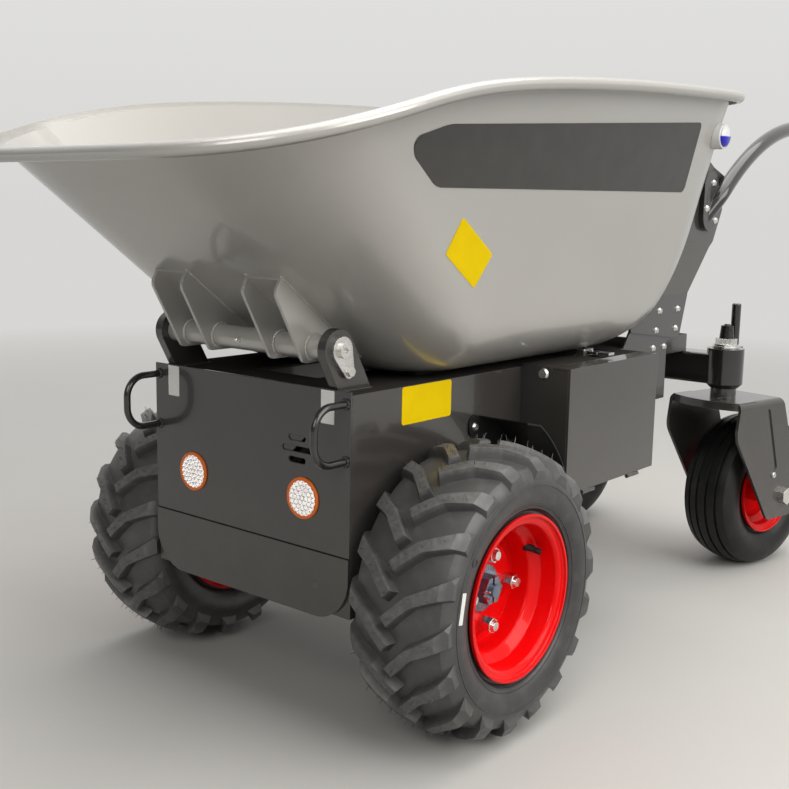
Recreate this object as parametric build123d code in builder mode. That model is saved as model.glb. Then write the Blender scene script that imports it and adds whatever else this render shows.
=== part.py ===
from build123d import *
import os
from math import asin, atan2, cos, degrees, radians, sin, sqrt, tan

os.makedirs("parts", exist_ok=True)

# Walk-behind electric mini dumper: two driven wheels in front, two casters behind, a skip that
# tips forward over the front edge. X forward, Y to the left, Z up, ground at Z = 0, millimetres.
# The X sizes of the machine are measured from the drive axle, which stands at axle_x.

# Drive wheels, 16 x 6.50-8 with tractor lugs
axle_x = 428.0
tyre_radius = 203.0
tyre_half_width = 78.5
wheel_y = 278.0
lug_count = 18
lug_height = 16.0
lug_width = 33.0
lug_draft = 9.0
lug_path = ((36.0, -7.0), (-2.0, 32.0), (-30.0, 86.0))
tread_drop = 14.0
carcass_drop = 11.0
tyre_wall = 9.0
bead_radius = 101.6
rim_half_width = 68.0
rim_flange_radius = 114.0
rim_sheet = 4.0
rim_curl = 7.0
rim_bend = 5.0
rim_seat = 38.0
rim_well = 28.0
bead_chamfer = 6.0
bead_gap = 3.0
drop_radius = 86.0
disc_flat_radius = 64.0
disc_face = 8.0
disc_sheet = 6.0
hub_bore_radius = 33.0
hub_flange_radius = 62.0
hub_flange = 12.0
hub_barrel_radius = 36.0
stud_circle_radius = 50.0
stud_radius = 6.0
stud_count = 4
wheel_nut_width = 19.0
wheel_nut_length = 24.0
nut_cap = 5.0
axle_shaft_radius = 15.0
axle_shaft_length = 160.0
axle_nut_width = 36.0
axle_nut_length = 16.0
running_gap = 0.06

# Chassis: folded plate box in front, two rails to the rear
chassis_half = 194.0
plate = 4.0
chassis_front = axle_x + 169.0
chassis_rear = axle_x - 706.0
front_box_rear = axle_x - 190.0
front_box_slant = 70.0
deck_z = 478.0
rail_z = 372.0
belly_z = 180.0
deck_slot_front = axle_x + 94.0
deck_slot_rear = axle_x - 250.0
deck_slot_half = 62.0
front_flange = 26.0
cross_bar = 40.0
arm_y = 130.0
arm_width = 40.0
arm_top = 475.0
arm_wall = 4.0
upstand_top = 556.0

# Front covers, lamps, tie loops
front_plate = 3.0
front_plate_top = 482.0
seam_z = 262.0
lower_plate = 5.0
lower_plate_bottom = 173.0
lower_plate_corner = 60.0
seam_gap = 1.0
lamp_y = 110.5
lamp_z = 330.0
lamp_radius = 28.5
lamp_ring = 4.5
lamp_proud = 3.0
lamp_depth = 26.0
vent_y = 99.0
vent_z = 395.0
vent_pitch = 15.0
vent_long = 56.0
vent_short = 32.0
vent_height = 8.0
loop_y = 186.0
loop_z = 428.5
loop_height = 75.0
loop_reach = 59.0
loop_rod = 10.0
loop_bend = 30.0

# Skip pivot on two ears
pivot_x = axle_x + 165.0
pivot_z = 533.0
ear_outer = 168.0
ear = 14.0
ear_radius = 27.0
ear_foot_front = 3.0
ear_foot = 62.0
pivot_shaft_radius = 11.0
pivot_tube_radius = 16.0
pivot_side_gap = 0.5
keeper = 6.0
keeper_radius = 18.0
keeper_tail_radius = 9.5
keeper_drop = 28.0
keeper_set_back = 12.0
keeper_boss_radius = 10.0

# Skip: pressed tub, wide rolled rim
skip_bottom = 486.0
skip_top = 920.0
skip_wall = 3.0
skip_bend = 104.0
rear_bend = 235.0
tub_steps = 15
floor_front = axle_x + 40.0
floor_rear = axle_x - 650.0
floor_half = 246.0
floor_corner_front = 118.0
floor_corner_rear = 122.0
mouth_front = axle_x + 616.0
mouth_rear = axle_x - 715.0
mouth_half = 338.0
mouth_corner_front = 244.0
mouth_corner_rear = 151.0
rim_front = axle_x + 475.0
rim_rear = axle_x - 735.0
rim_half = 360.0
rim_corner_front = 232.0
rim_corner_rear = 175.0
rim_sheet_skip = 3.0
rim_lip = 17.0
rim_lip_wall = 12.0
rim_roll = 8.0
rim_curve = [(-780, 920), (-400, 904), (-40, 880), (150, 854), (300, 815), (430, 781), (560, 771)]
bracket_inner = 58.0
bracket_outer = 123.0
bracket_plate = 5.0
bracket_top = 626.0
bracket_foot = 513.0
bracket_nose_x = axle_x + 235.0
bracket_nose_z = 605.0
bracket_toe_x = axle_x + 184.0
pad_x = (axle_x - 400.0, axle_x - 60.0)
pad_y = 120.0
pad_length = 70.0
pad_width = 44.0
pad_gap = 0.3
gauge_x = axle_x - 588.0
gauge_z = 839.0
gauge_radius = 20.5
gauge_depth = 12.0

# Tipping ram between the front box and the skip floor
ram_base_x = axle_x + 120.0
ram_base_z = 300.0
ram_lug_x = axle_x - 120.0
ram_lug_z = 455.0
ram_barrel_radius = 25.0
ram_rod_radius = 12.0
ram_eye_radius = 16.0
ram_eye_half = 12.0
ram_pin_radius = 8.0
ram_barrel_length = 214.0
ram_motor_radius = 26.0
ram_motor_length = 110.0
ram_lug = 6.0
ram_side_gap = 3.0

# Battery boxes on both rails, doors hinged at the foot
box_front = axle_x - 217.0
box_length = 280.0
box_outer = 281.0
box_top = 482.0
box_bottom = 290.0
box_sheet = 3.0
door_gap = 0.4
door_flange = 32.0
hinge_radius = 3.4
hinge_pin_radius = 1.6
hinge_width = 18.0
hinge_inset = 50.0
hinge_drop = 3.6
hinge_leaf = 3.0
latch_x = axle_x - 382.0
latch_width = 30.0
battery_gap = 4.0

# Mudguards over the rear of the drive wheels
guard_radius = 250.0
guard_outer = 280.0
guard_sheet = 2.5
guard_front_x = axle_x - 82.0
guard_front_z = 422.0
guard_tab_radius = 13.0
guard_sheet_gap = 10.0
guard_knee_x = axle_x - 142.0
guard_end_gap = 3.0
guard_flange = 34.0
guard_bolt_x = axle_x - 96.0
guard_bolt_z = 401.0

# Rear beam and casters, 4.00-6 ribbed, standing turned by caster_yaw
swivel_x = axle_x - 900.0
swivel_y = 227.0
caster_yaw = 12.0
beam_size = 60.0
beam_wall = 4.0
beam_top = 441.0
swivel_tube_radius = 36.0
swivel_tube_chamfer = 8.0
swivel_bottom = 374.0
swivel_top = 452.0
stem_radius = 15.0
fork_top = 356.0
fork_plate = 6.0
fork_half = 84.0
fork_bend = 13.0
fork_front = 56.0
fork_rear = 84.0
fork_bow = 20.0
fork_lip = 15.0
fork_rear_wall = 36.0
fork_outline = ((-56, 356), (84, 356), (146, 190), (138, 111), (54, 111), (-66, 290))
fork_corner = 14.0
fork_shoulder = 42.0
fork_groove = (33.0, 338.0, 72.0, 212.0)
fork_groove_width = 12.0
fork_groove_depth = 2.5
lock_slot = (-33.0, -21.0)
collar_radius = 25.0
swivel_gap = 0.3
caster_trail = 104.0
caster_radius = 155.0
caster_half_width = 55.0
caster_rim_half = 46.0
caster_flange_radius = 83.0
caster_bead_radius = 73.0
caster_drop_radius = 60.0
caster_seat = 27.0
caster_well = 18.0
caster_hub_radius = 24.0
caster_axle_radius = 10.0
caster_groove = 5.0
caster_groove_depth = 4.0
caster_grooves = (-30.0, -10.5, 10.5, 30.0)
axle_head_width = 30.0
axle_head = 12.0
swivel_washer_radius = 26.0
swivel_washer = 8.0
swivel_nut_width = 36.0
swivel_nut = 11.0
swivel_cap_radius = 14.0
swivel_cap = 25.0
swivel_cap_draft = 5.0
swivel_nub_radius = 7.0
swivel_nub = 3.0
lock_bar = 18.0
lock_top = 538.0
lock_offset = 39.0
lock_clearance = 0.3
lock_nose_gap = 1.5
lock_guide_wall = 4.0
lock_guide_height = 42.0

# Mast plates, console, handles
mast_plate = 5.0
mast_upper_y = 235.0
mast_bend_low = 565.0
mast_bend_high = 662.0
mast_foot_z = 484.0
mast_top = 812.0
console_z = 700.0
console_top = 800.0
console_sheet = 3.0
handle_radius = 14.0
handle_wall = 2.5
handle_flange = 9.0
handle_sink = 7.0
handle_flange_length = 108.0
handle_flange_width = 58.0
handle_flange_x = axle_x - 750.0
handle_flange_z = 735.0
handle_foot_x = axle_x - 748.0
handle_foot_z = 703.0
handle_heel_x = axle_x - 778.0
handle_heel_z = 748.0
handle_heel_bend = 60.0
handle_knee_x = axle_x - 969.0
handle_z = 892.0
handle_bend = 640.0
handle_rear = axle_x - 1331.0
grip_length = 116.0
grip_wall = 3.5
throttle_length = 58.0

sides = (("left", 1), ("right", -1))


def side_plane(y):
    """Vertical plane along the machine at the given Y, drawn in X and Z, facing right."""
    return Plane.XZ.offset(-y)


def front_at(z):
    """X of the skip's sloping front wall, outside, at height z."""
    share = (z - skip_bottom) / (skip_top - skip_bottom)
    return floor_front + (mouth_front - floor_front) * share


def half_at(z):
    """Half width of the skip, outside, at height z."""
    share = (z - skip_bottom) / (skip_top - skip_bottom)
    return floor_half + (mouth_half - floor_half) * share


def draw_tub(front, rear, half, corner_front, corner_rear):
    """Rectangle with its own corner radius at the front and at the rear."""
    with Locations(((front + rear) / 2, 0)):
        Rectangle(front - rear, 2 * half)
    fillet(vertices().group_by(Axis.X)[-1], corner_front)
    fillet(vertices().group_by(Axis.X)[0], corner_rear)


# Chassis frame: side plates, deck, cross bars, rear arms, skip ears and mast upstands in one weldment
side_outline = [
    (chassis_front, belly_z),
    (chassis_front, deck_z),
    (chassis_rear, deck_z),
    (chassis_rear, rail_z),
    (front_box_rear, rail_z),
    (front_box_rear + front_box_slant, belly_z),
]
upstand_outline = [
    (axle_x - 540, deck_z),
    (axle_x - 575, 524),
    (axle_x - 640, upstand_top),
    (axle_x - 752, upstand_top),
    (axle_x - 738, deck_z),
]
arm_rear = swivel_x + beam_size / 4
ear_foot_x = chassis_front - ear_foot_front
with BuildPart() as chassis_frame:
    with BuildSketch(side_plane(chassis_half)):
        Polygon(*side_outline)
        with Locations((axle_x, tyre_radius)):
            Circle(hub_bore_radius, mode=Mode.SUBTRACT)
    extrude(amount=plate)
    with BuildSketch(side_plane(chassis_half)):
        Polygon(*upstand_outline)
    extrude(amount=plate)
    with BuildSketch(Plane.YZ.offset(chassis_front)):
        with Locations((chassis_half - front_flange / 2, (belly_z + deck_z) / 2)):
            Rectangle(front_flange, deck_z - belly_z)
    extrude(amount=-plate)
    with BuildSketch(side_plane(ear_outer)):
        with Locations((pivot_x, pivot_z)):
            Circle(ear_radius)
        Polygon((ear_foot_x - ear_foot, deck_z), (ear_foot_x, deck_z), (ear_foot_x, deck_z + 1),
                (ear_foot_x - ear_foot, deck_z + 1))
        make_hull()
        with Locations((pivot_x, pivot_z)):
            Circle(pivot_shaft_radius, mode=Mode.SUBTRACT)
    extrude(amount=ear)
    with BuildSketch(Plane.YZ.offset(chassis_rear)):
        with Locations((arm_y, (beam_top + arm_top) / 2)):
            Rectangle(arm_width, arm_top - beam_top)
            Rectangle(arm_width - 2 * arm_wall, arm_top - beam_top - 2 * arm_wall, mode=Mode.SUBTRACT)
    extrude(amount=arm_rear - chassis_rear)
    mirror(about=Plane.XZ)
    with BuildSketch(Plane.XY.offset(deck_z)):
        with Locations(((chassis_front + chassis_rear) / 2, 0)):
            Rectangle(chassis_front - chassis_rear, 2 * (chassis_half - plate))
        with Locations(((deck_slot_front + deck_slot_rear) / 2, 0)):
            Rectangle(deck_slot_front - deck_slot_rear, 2 * deck_slot_half, mode=Mode.SUBTRACT)
    extrude(amount=-plate)
    with BuildSketch(Plane.YZ.offset(chassis_rear)):
        with Locations((0, (rail_z + deck_z) / 2)):
            Rectangle(2 * (chassis_half - plate), deck_z - rail_z)
    extrude(amount=plate)
    with BuildSketch(Plane.XY.offset(belly_z)):
        with Locations((chassis_front - cross_bar / 2, 0),
                       (front_box_rear + front_box_slant + cross_bar / 2, 0)):
            Rectangle(cross_bar, 2 * (chassis_half - plate))
    extrude(amount=plate)
    with BuildSketch(side_plane(chassis_half - plate)):
        Polygon((chassis_front - plate, seam_z), (chassis_front - plate, ram_base_z),
                (chassis_front - plate - 20, ram_base_z), (chassis_front - plate - 20, seam_z))
    extrude(amount=2 * (chassis_half - plate))
    for clevis_y in (ram_eye_half + ram_side_gap + ram_lug, -ram_eye_half - ram_side_gap):
        with BuildSketch(side_plane(clevis_y)):
            with Locations((ram_base_x, ram_base_z)):
                Circle(ram_eye_radius)
            Polygon((chassis_front - plate - 10, seam_z), (chassis_front - plate - 10, ram_base_z),
                    (chassis_front - plate - 12, ram_base_z), (chassis_front - plate - 12, seam_z))
            make_hull()
            with Locations((ram_base_x, ram_base_z)):
                Circle(ram_pin_radius, mode=Mode.SUBTRACT)
        extrude(amount=ram_lug)
chassis_frame.part.label = "chassis_frame"
export_step(chassis_frame.part, "parts/chassis_frame.step")

# Front plate with two lamp holes and three vent slots
with BuildPart() as front_cover:
    with BuildSketch(Plane.YZ.offset(chassis_front)):
        with Locations((0, (seam_z + seam_gap + front_plate_top) / 2)):
            Rectangle(2 * chassis_half, front_plate_top - seam_z - seam_gap)
        with Locations((lamp_y, lamp_z), (-lamp_y, lamp_z)):
            Circle(lamp_radius - lamp_ring, mode=Mode.SUBTRACT)
        for row, length in ((-1, vent_short), (0, vent_long), (1, vent_short)):
            with Locations((vent_y, vent_z + row * vent_pitch)):
                SlotOverall(length, vent_height, mode=Mode.SUBTRACT)
    extrude(amount=front_plate)
front_cover.part.label = "front_plate"
export_step(front_cover.part, "parts/front_plate.step")

# Lower front plate with large rounded lower corners
with BuildPart() as lower_cover:
    with BuildSketch(Plane.YZ.offset(chassis_front)):
        with Locations((0, (lower_plate_bottom + seam_z) / 2)):
            Rectangle(2 * chassis_half, seam_z - lower_plate_bottom)
        fillet(vertices().group_by(Axis.Y)[0], lower_plate_corner)
    extrude(amount=lower_plate)
lower_cover.part.label = "lower_plate"
export_step(lower_cover.part, "parts/lower_plate.step")

# Two bent-rod tie loops on the front corners
plate_face = chassis_front + front_plate
with BuildPart() as tie_loops:
    for loop_side in (loop_y, -loop_y):
        with BuildLine() as loop_path:
            FilletPolyline(
                (plate_face, loop_side, loop_z + loop_height / 2),
                (plate_face + loop_reach, loop_side, loop_z + loop_height / 2),
                (plate_face + loop_reach, loop_side, loop_z - loop_height / 2),
                (plate_face, loop_side, loop_z - loop_height / 2),
                radius=loop_bend,
            )
        with BuildSketch(Plane(origin=loop_path.line @ 0, z_dir=loop_path.line % 0)):
            Circle(loop_rod / 2)
        sweep(path=loop_path.line)
tie_loops.part.label = "tie_loops"
export_step(tie_loops.part, "parts/tie_loops.step")

# Lamp rings and lenses in the front plate
with BuildPart() as lamp_bezels:
    with BuildSketch(Plane.YZ.offset(plate_face)):
        with Locations((lamp_y, lamp_z), (-lamp_y, lamp_z)):
            Circle(lamp_radius)
            Circle(lamp_radius - lamp_ring, mode=Mode.SUBTRACT)
    extrude(amount=lamp_proud)
    fillet(faces().sort_by(Axis.X)[-2:].edges(), 1.2)
lamp_bezels.part.label = "lamp_bezels"
export_step(lamp_bezels.part, "parts/lamp_bezels.step")

with BuildPart() as lamp_lenses:
    with BuildSketch(Plane.YZ.offset(plate_face + lamp_proud / 2)):
        with Locations((lamp_y, lamp_z), (-lamp_y, lamp_z)):
            Circle(lamp_radius - lamp_ring)
    extrude(amount=-lamp_depth)
lamp_lenses.part.label = "lamp_lenses"
export_step(lamp_lenses.part, "parts/lamp_lenses.step")

# Pivot shaft through both ears and base pin of the ram; keeper plates of the shaft with their bolts
with BuildPart() as pivot_pins:
    with Locations((pivot_x, 0, pivot_z)):
        Cylinder(pivot_shaft_radius, 2 * ear_outer, rotation=(90, 0, 0))
    with Locations((ram_base_x, 0, ram_base_z)):
        Cylinder(ram_pin_radius, 2 * (ram_eye_half + ram_side_gap + ram_lug), rotation=(90, 0, 0))
pivot_pins.part.label = "pivot_pins"
export_step(pivot_pins.part, "parts/pivot_pins.step")

keeper_tail = (pivot_x - keeper_set_back, pivot_z - keeper_drop)
with BuildPart() as pivot_keepers:
    with BuildSketch(side_plane(ear_outer + keeper)):
        with Locations((pivot_x, pivot_z)):
            Circle(keeper_radius)
        with Locations(keeper_tail):
            Circle(keeper_tail_radius)
        make_hull()
    extrude(amount=keeper)
    with BuildSketch(side_plane(ear_outer + keeper)):
        with Locations((pivot_x, pivot_z)):
            Circle(keeper_boss_radius)
        with Locations(keeper_tail):
            RegularPolygon(7, 6)
    extrude(amount=-5)
    with BuildSketch(side_plane(ear_outer + keeper + 5)):
        with Locations((pivot_x, pivot_z)):
            RegularPolygon(5, 6)
    extrude(amount=4, mode=Mode.SUBTRACT)
    mirror(about=Plane.XZ)
pivot_keepers.part.label = "pivot_keepers"
export_step(pivot_keepers.part, "parts/pivot_keepers.step")

# Mudguards: bent sheet round the back of each drive wheel, with a flange on the chassis side
guard_end_x = box_front + guard_end_gap
knee_angle = degrees(asin((axle_x - guard_knee_x) / guard_radius))
end_angle = degrees(asin((axle_x - guard_end_x) / guard_radius))


def guard_point(angle, radius):
    """Point of the mudguard's round stretch, angle from straight up towards the rear."""
    return (axle_x - radius * sin(radians(angle)), tyre_radius + radius * cos(radians(angle)))


guard_slope = (guard_front_z - guard_point(knee_angle, guard_radius)[1]) / (guard_front_x - guard_knee_x)
sheet_front_x = guard_bolt_x - guard_sheet_gap
with BuildPart() as mudguards:
    for depth, outer, width, front in (
        (guard_sheet, guard_outer, guard_outer - chassis_half, sheet_front_x),
        (guard_flange, chassis_half + guard_sheet, guard_sheet, guard_front_x),
    ):
        inner = guard_radius - depth
        middle = (knee_angle + end_angle) / 2
        front_z = guard_front_z + guard_slope * (front - guard_front_x)
        with BuildSketch(side_plane(outer)):
            with BuildLine():
                Polyline((front, front_z - depth), (front, front_z), guard_point(knee_angle, guard_radius))
                ThreePointArc(guard_point(knee_angle, guard_radius), guard_point(middle, guard_radius),
                              guard_point(end_angle, guard_radius))
                Line(guard_point(end_angle, guard_radius), guard_point(end_angle, inner))
                ThreePointArc(guard_point(end_angle, inner), guard_point(middle, inner),
                              guard_point(knee_angle, inner))
                Line(guard_point(knee_angle, inner), (front, front_z - depth))
            make_face()
            if depth > guard_tab_radius:
                fillet(vertices().sort_by(Axis.X)[-2:], guard_tab_radius)
        extrude(amount=width)
    mirror(about=Plane.XZ)
mudguards.part.label = "mudguards"
export_step(mudguards.part, "parts/mudguards.step")

# Skip shell: pressed tub with rounded feet to its walls, a flange and a rolled edge along its rim
skip_rise = skip_top - skip_bottom
front_lean = atan2(mouth_front - floor_front, skip_rise)
rear_lean = atan2(floor_rear - mouth_rear, skip_rise)
side_lean = atan2(mouth_half - floor_half, skip_rise)


def foot_inset(height, lean, bend):
    """How far a wall's rounded foot stands in from its straight line, at a height over the floor."""
    if height >= bend * (1 - sin(lean)):
        return 0
    return bend / cos(lean) + (height - bend) * tan(lean) - sqrt(bend ** 2 - (bend - height) ** 2)


def tub_at(height, inset):
    """Front, rear, half width and corner radii of the tub at a height over its floor, moved in by inset."""
    share = (height + inset) / skip_rise
    front_in = foot_inset(height, front_lean, skip_bend - inset) + inset / cos(front_lean)
    rear_in = foot_inset(height, rear_lean, rear_bend - inset) + inset / cos(rear_lean)
    side_in = foot_inset(height, side_lean, skip_bend - inset)
    return (
        floor_front + (mouth_front - floor_front) * share - front_in,
        floor_rear + (mouth_rear - floor_rear) * share + rear_in,
        floor_half + (mouth_half - floor_half) * share - side_in - inset / cos(side_lean),
        floor_corner_front + (mouth_corner_front - floor_corner_front) * share - inset - side_in / 2,
        floor_corner_rear + (mouth_corner_rear - floor_corner_rear) * share - inset - side_in / 2,
    )


def tub_body(inset):
    """Solid tub, moved in by inset, lofted through sections that lie closer near the floor."""
    with BuildPart() as body:
        for step in range(tub_steps + 1):
            height = skip_rise * (step / tub_steps) ** 2
            with BuildSketch(Plane.XY.offset(skip_bottom + inset + height)):
                draw_tub(*tub_at(height, inset))
        loft()
    return body.part


rim_points = [(axle_x + x, z) for x, z in rim_curve]
rim_reach = rim_half + 40


def rim_slab(depth, inset):
    """Slab that follows the rim's line over the rim plan moved in by inset, from the rim down by depth."""
    with BuildPart() as slab:
        with BuildSketch(Plane.XY.offset(bracket_top)):
            draw_tub(rim_front - inset, rim_rear + inset, rim_half - inset, rim_corner_front - inset,
                     rim_corner_rear - inset)
        extrude(amount=skip_top - bracket_top)
        with BuildSketch(side_plane(rim_reach)):
            with BuildLine():
                slab_top = Spline(*rim_points)
                slab_low = Spline(*[(x, z - depth) for x, z in rim_points])
                Line(slab_top @ 0, slab_low @ 0)
                Line(slab_top @ 1, slab_low @ 1)
            make_face()
        extrude(amount=2 * rim_reach, mode=Mode.INTERSECT)
    return slab.part


tub_outer = tub_body(0)
tub_inner = tub_body(skip_wall)
flange_top = (rim_lip - rim_sheet_skip) / 2
with BuildPart() as rim_flange:
    add(rim_slab(flange_top + rim_sheet_skip, rim_lip_wall / 2))
    add(rim_slab(flange_top, 0), mode=Mode.SUBTRACT)
    add(tub_inner, mode=Mode.SUBTRACT)

with BuildPart() as rim_edge:
    add(rim_slab(rim_lip, 0))
    fillet(edges().filter_by(GeomType.LINE, reverse=True), rim_roll)
    with BuildSketch(Plane.XY.offset(bracket_top)):
        draw_tub(rim_front - rim_lip_wall, rim_rear + rim_lip_wall, rim_half - rim_lip_wall,
                 rim_corner_front - rim_lip_wall, rim_corner_rear - rim_lip_wall)
    extrude(amount=skip_top - bracket_top, mode=Mode.SUBTRACT)

with BuildPart() as skip_shell:
    add(tub_outer)
    add(tub_inner, mode=Mode.SUBTRACT)
    with BuildSketch(side_plane(rim_reach)):
        with BuildLine():
            cut_line = Spline(*[(x, z - flange_top) for x, z in rim_points])
            Polyline(cut_line @ 0, (rim_points[0][0], skip_top + 60), (mouth_front + 60, skip_top + 60),
                     (mouth_front + 60, rim_points[-1][1]), cut_line @ 1)
        make_face()
    extrude(amount=2 * rim_reach, mode=Mode.SUBTRACT)
    add(rim_flange.part)
    add(rim_edge.part)
skip_shell.part.label = "skip_shell"
export_step(skip_shell.part, "parts/skip_shell.step")

# Hinge brackets: two channels welded to the sloping front wall, and the ram lugs under the floor
slope = atan2(skip_top - skip_bottom, mouth_front - floor_front)
heel = (front_at(bracket_foot) - 1.5, bracket_foot)
head = (front_at(bracket_top) - 1.5, bracket_top)
web_shift = (bracket_plate * sin(slope), -bracket_plate * cos(slope))
with BuildPart() as skip_brackets:
    for outer_face in (bracket_outer, bracket_inner + bracket_plate):
        with BuildSketch(side_plane(outer_face)):
            Polygon(heel, (bracket_toe_x, bracket_foot), (bracket_nose_x, bracket_nose_z), head)
            fillet(vertices().sort_by(Axis.X)[-1], 14)
            fillet(vertices().sort_by(Axis.Y)[0:2].sort_by(Axis.X)[-1], 8)
            with Locations((pivot_x, pivot_z)):
                Circle(pivot_tube_radius, mode=Mode.SUBTRACT)
        extrude(amount=bracket_plate)
    with BuildSketch(side_plane(bracket_outer - bracket_plate)):
        Polygon(heel, head, (head[0] + web_shift[0], head[1] + web_shift[1]),
                (heel[0] + web_shift[0], heel[1] + web_shift[1]))
        with Locations((pivot_x, pivot_z)):
            Circle(pivot_tube_radius, mode=Mode.SUBTRACT)
    extrude(amount=bracket_outer - bracket_inner - 2 * bracket_plate)
    with BuildSketch(side_plane(ram_eye_half + ram_side_gap + ram_lug)):
        with Locations((ram_lug_x, ram_lug_z)):
            Circle(ram_eye_radius)
        with Locations((ram_lug_x, skip_bottom - 1)):
            Rectangle(4 * ram_eye_radius, 2)
        make_hull()
        with Locations((ram_lug_x, ram_lug_z)):
            Circle(ram_pin_radius, mode=Mode.SUBTRACT)
    extrude(amount=ram_lug)
    add(tub_outer, mode=Mode.SUBTRACT)
    mirror(about=Plane.XZ)
skip_brackets.part.label = "skip_brackets"
export_step(skip_brackets.part, "parts/skip_brackets.step")

# Pivot tube, turning on the shaft between the ears
with BuildPart() as pivot_tube:
    with Locations((pivot_x, 0, pivot_z)):
        Cylinder(pivot_tube_radius, 2 * (ear_outer - ear - pivot_side_gap), rotation=(90, 0, 0))
        Cylinder(pivot_shaft_radius + running_gap, 2 * ear_outer, rotation=(90, 0, 0), mode=Mode.SUBTRACT)
pivot_tube.part.label = "pivot_tube"
export_step(pivot_tube.part, "parts/pivot_tube.step")

# Slope gauge on the skip's left flank, its back shaped to the wall
with BuildPart() as slope_gauge:
    with Locations((gauge_x, half_at(gauge_z) + gauge_depth / 2 - 10, gauge_z)):
        Cylinder(gauge_radius, gauge_depth + 20, rotation=(90, 0, 0))
    add(tub_outer, mode=Mode.SUBTRACT)
slope_gauge.part.label = "slope_gauge"
export_step(slope_gauge.part, "parts/slope_gauge.step")

# Rubber pads on the deck that carry the lowered skip
with BuildPart() as skip_pads:
    with BuildSketch(Plane.XY.offset(deck_z)):
        for pad_place in pad_x:
            with Locations((pad_place, pad_y), (pad_place, -pad_y)):
                RectangleRounded(pad_length, pad_width, 8)
    extrude(amount=skip_bottom - deck_z - pad_gap)
skip_pads.part.label = "skip_pads"
export_step(skip_pads.part, "parts/skip_pads.step")

# Tipping ram: barrel with its motor on the front box, rod with an eye between the skip's lugs
ram_length = sqrt((ram_lug_x - ram_base_x) ** 2 + (ram_lug_z - ram_base_z) ** 2)
ram_way = ((ram_lug_x - ram_base_x) / ram_length, 0, (ram_lug_z - ram_base_z) / ram_length)
ram_plane = Plane(origin=(ram_base_x, 0, ram_base_z), x_dir=(0, 1, 0), z_dir=ram_way)
barrel_start = 2 * ram_eye_radius
barrel_end = barrel_start + ram_barrel_length
rod_start = barrel_start + 10
with BuildPart() as ram_barrel:
    with Locations((ram_base_x, 0, ram_base_z)):
        Cylinder(ram_eye_radius, 2 * ram_eye_half, rotation=(90, 0, 0))
    with BuildSketch(ram_plane):
        Rectangle(2 * ram_eye_half, 1.5 * ram_eye_radius)
    extrude(amount=barrel_start)
    with BuildSketch(ram_plane.offset(barrel_start)):
        Circle(ram_barrel_radius)
    extrude(amount=ram_barrel_length)
    with BuildSketch(ram_plane.offset(barrel_start)):
        with Locations((ram_barrel_radius + ram_motor_radius, 0)):
            Circle(ram_motor_radius)
        Circle(ram_barrel_radius + 2)
        make_hull()
    extrude(amount=20)
    with BuildSketch(ram_plane.offset(barrel_start + 20)):
        with Locations((ram_barrel_radius + ram_motor_radius, 0)):
            Circle(ram_motor_radius - 1.5)
    extrude(amount=ram_motor_length)
    with BuildSketch(ram_plane.offset(barrel_end - 14)):
        Circle(ram_barrel_radius + 4)
    extrude(amount=14)
    with BuildSketch(ram_plane.offset(rod_start - 1)):
        Circle(ram_rod_radius + running_gap)
    extrude(amount=ram_length, mode=Mode.SUBTRACT)
    with Locations((ram_base_x, 0, ram_base_z)):
        Cylinder(ram_pin_radius + running_gap, 4 * ram_eye_half, rotation=(90, 0, 0), mode=Mode.SUBTRACT)
ram_barrel.part.label = "ram_barrel"
export_step(ram_barrel.part, "parts/ram_barrel.step")

with BuildPart() as ram_rod:
    with BuildSketch(ram_plane.offset(rod_start)):
        Circle(ram_rod_radius)
    extrude(amount=ram_length - rod_start)
    with Locations((ram_lug_x, 0, ram_lug_z)):
        Cylinder(ram_eye_radius, 2 * ram_eye_half, rotation=(90, 0, 0))
        Cylinder(ram_pin_radius, 4 * ram_eye_half, rotation=(90, 0, 0), mode=Mode.SUBTRACT)
ram_rod.part.label = "ram_rod"
export_step(ram_rod.part, "parts/ram_rod.step")

# Drive unit: axle housing through both side plates, gearbox in the middle, motor to the rear
housing_half = chassis_half + 3
gearbox_radius = 70.0
gearbox_half = 55.0
motor_radius = 58.0
motor_length = 190.0
motor_rise = 46.0
with BuildPart() as drive_unit:
    with Locations((axle_x, 0, tyre_radius)):
        Cylinder(hub_bore_radius, 2 * housing_half, rotation=(90, 0, 0))
        Cylinder(gearbox_radius, 2 * gearbox_half, rotation=(90, 0, 0))
        Cylinder(gearbox_radius - 12, 2 * gearbox_half + 40, rotation=(90, 0, 0))
    with BuildSketch(Plane.YZ.offset(axle_x)):
        with Locations((0, tyre_radius + motor_rise)):
            Circle(motor_radius)
    extrude(amount=-motor_length)
    with BuildSketch(Plane.YZ.offset(axle_x - 80)):
        with Locations((0, tyre_radius + motor_rise)):
            Circle(motor_radius + 6)
    extrude(amount=-12)
    for bore_end in (housing_half, -housing_half):
        with Locations((axle_x, bore_end, tyre_radius)):
            Cylinder(axle_shaft_radius + running_gap, 2 * axle_shaft_length, rotation=(90, 0, 0),
                     mode=Mode.SUBTRACT)
drive_unit.part.label = "drive_unit"
export_step(drive_unit.part, "parts/drive_unit.step")

# Motor controller under the deck
controller_length = 150.0
controller_width = 140.0
controller_height = 46.0
controller_x = axle_x - 400.0
with BuildPart() as motor_controller:
    with Locations((controller_x, 0, deck_z - plate - controller_height / 2)):
        Box(controller_length, controller_width, controller_height)
    fillet(edges().filter_by(Axis.Z), 6)
motor_controller.part.label = "motor_controller"
export_step(motor_controller.part, "parts/motor_controller.step")

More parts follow.
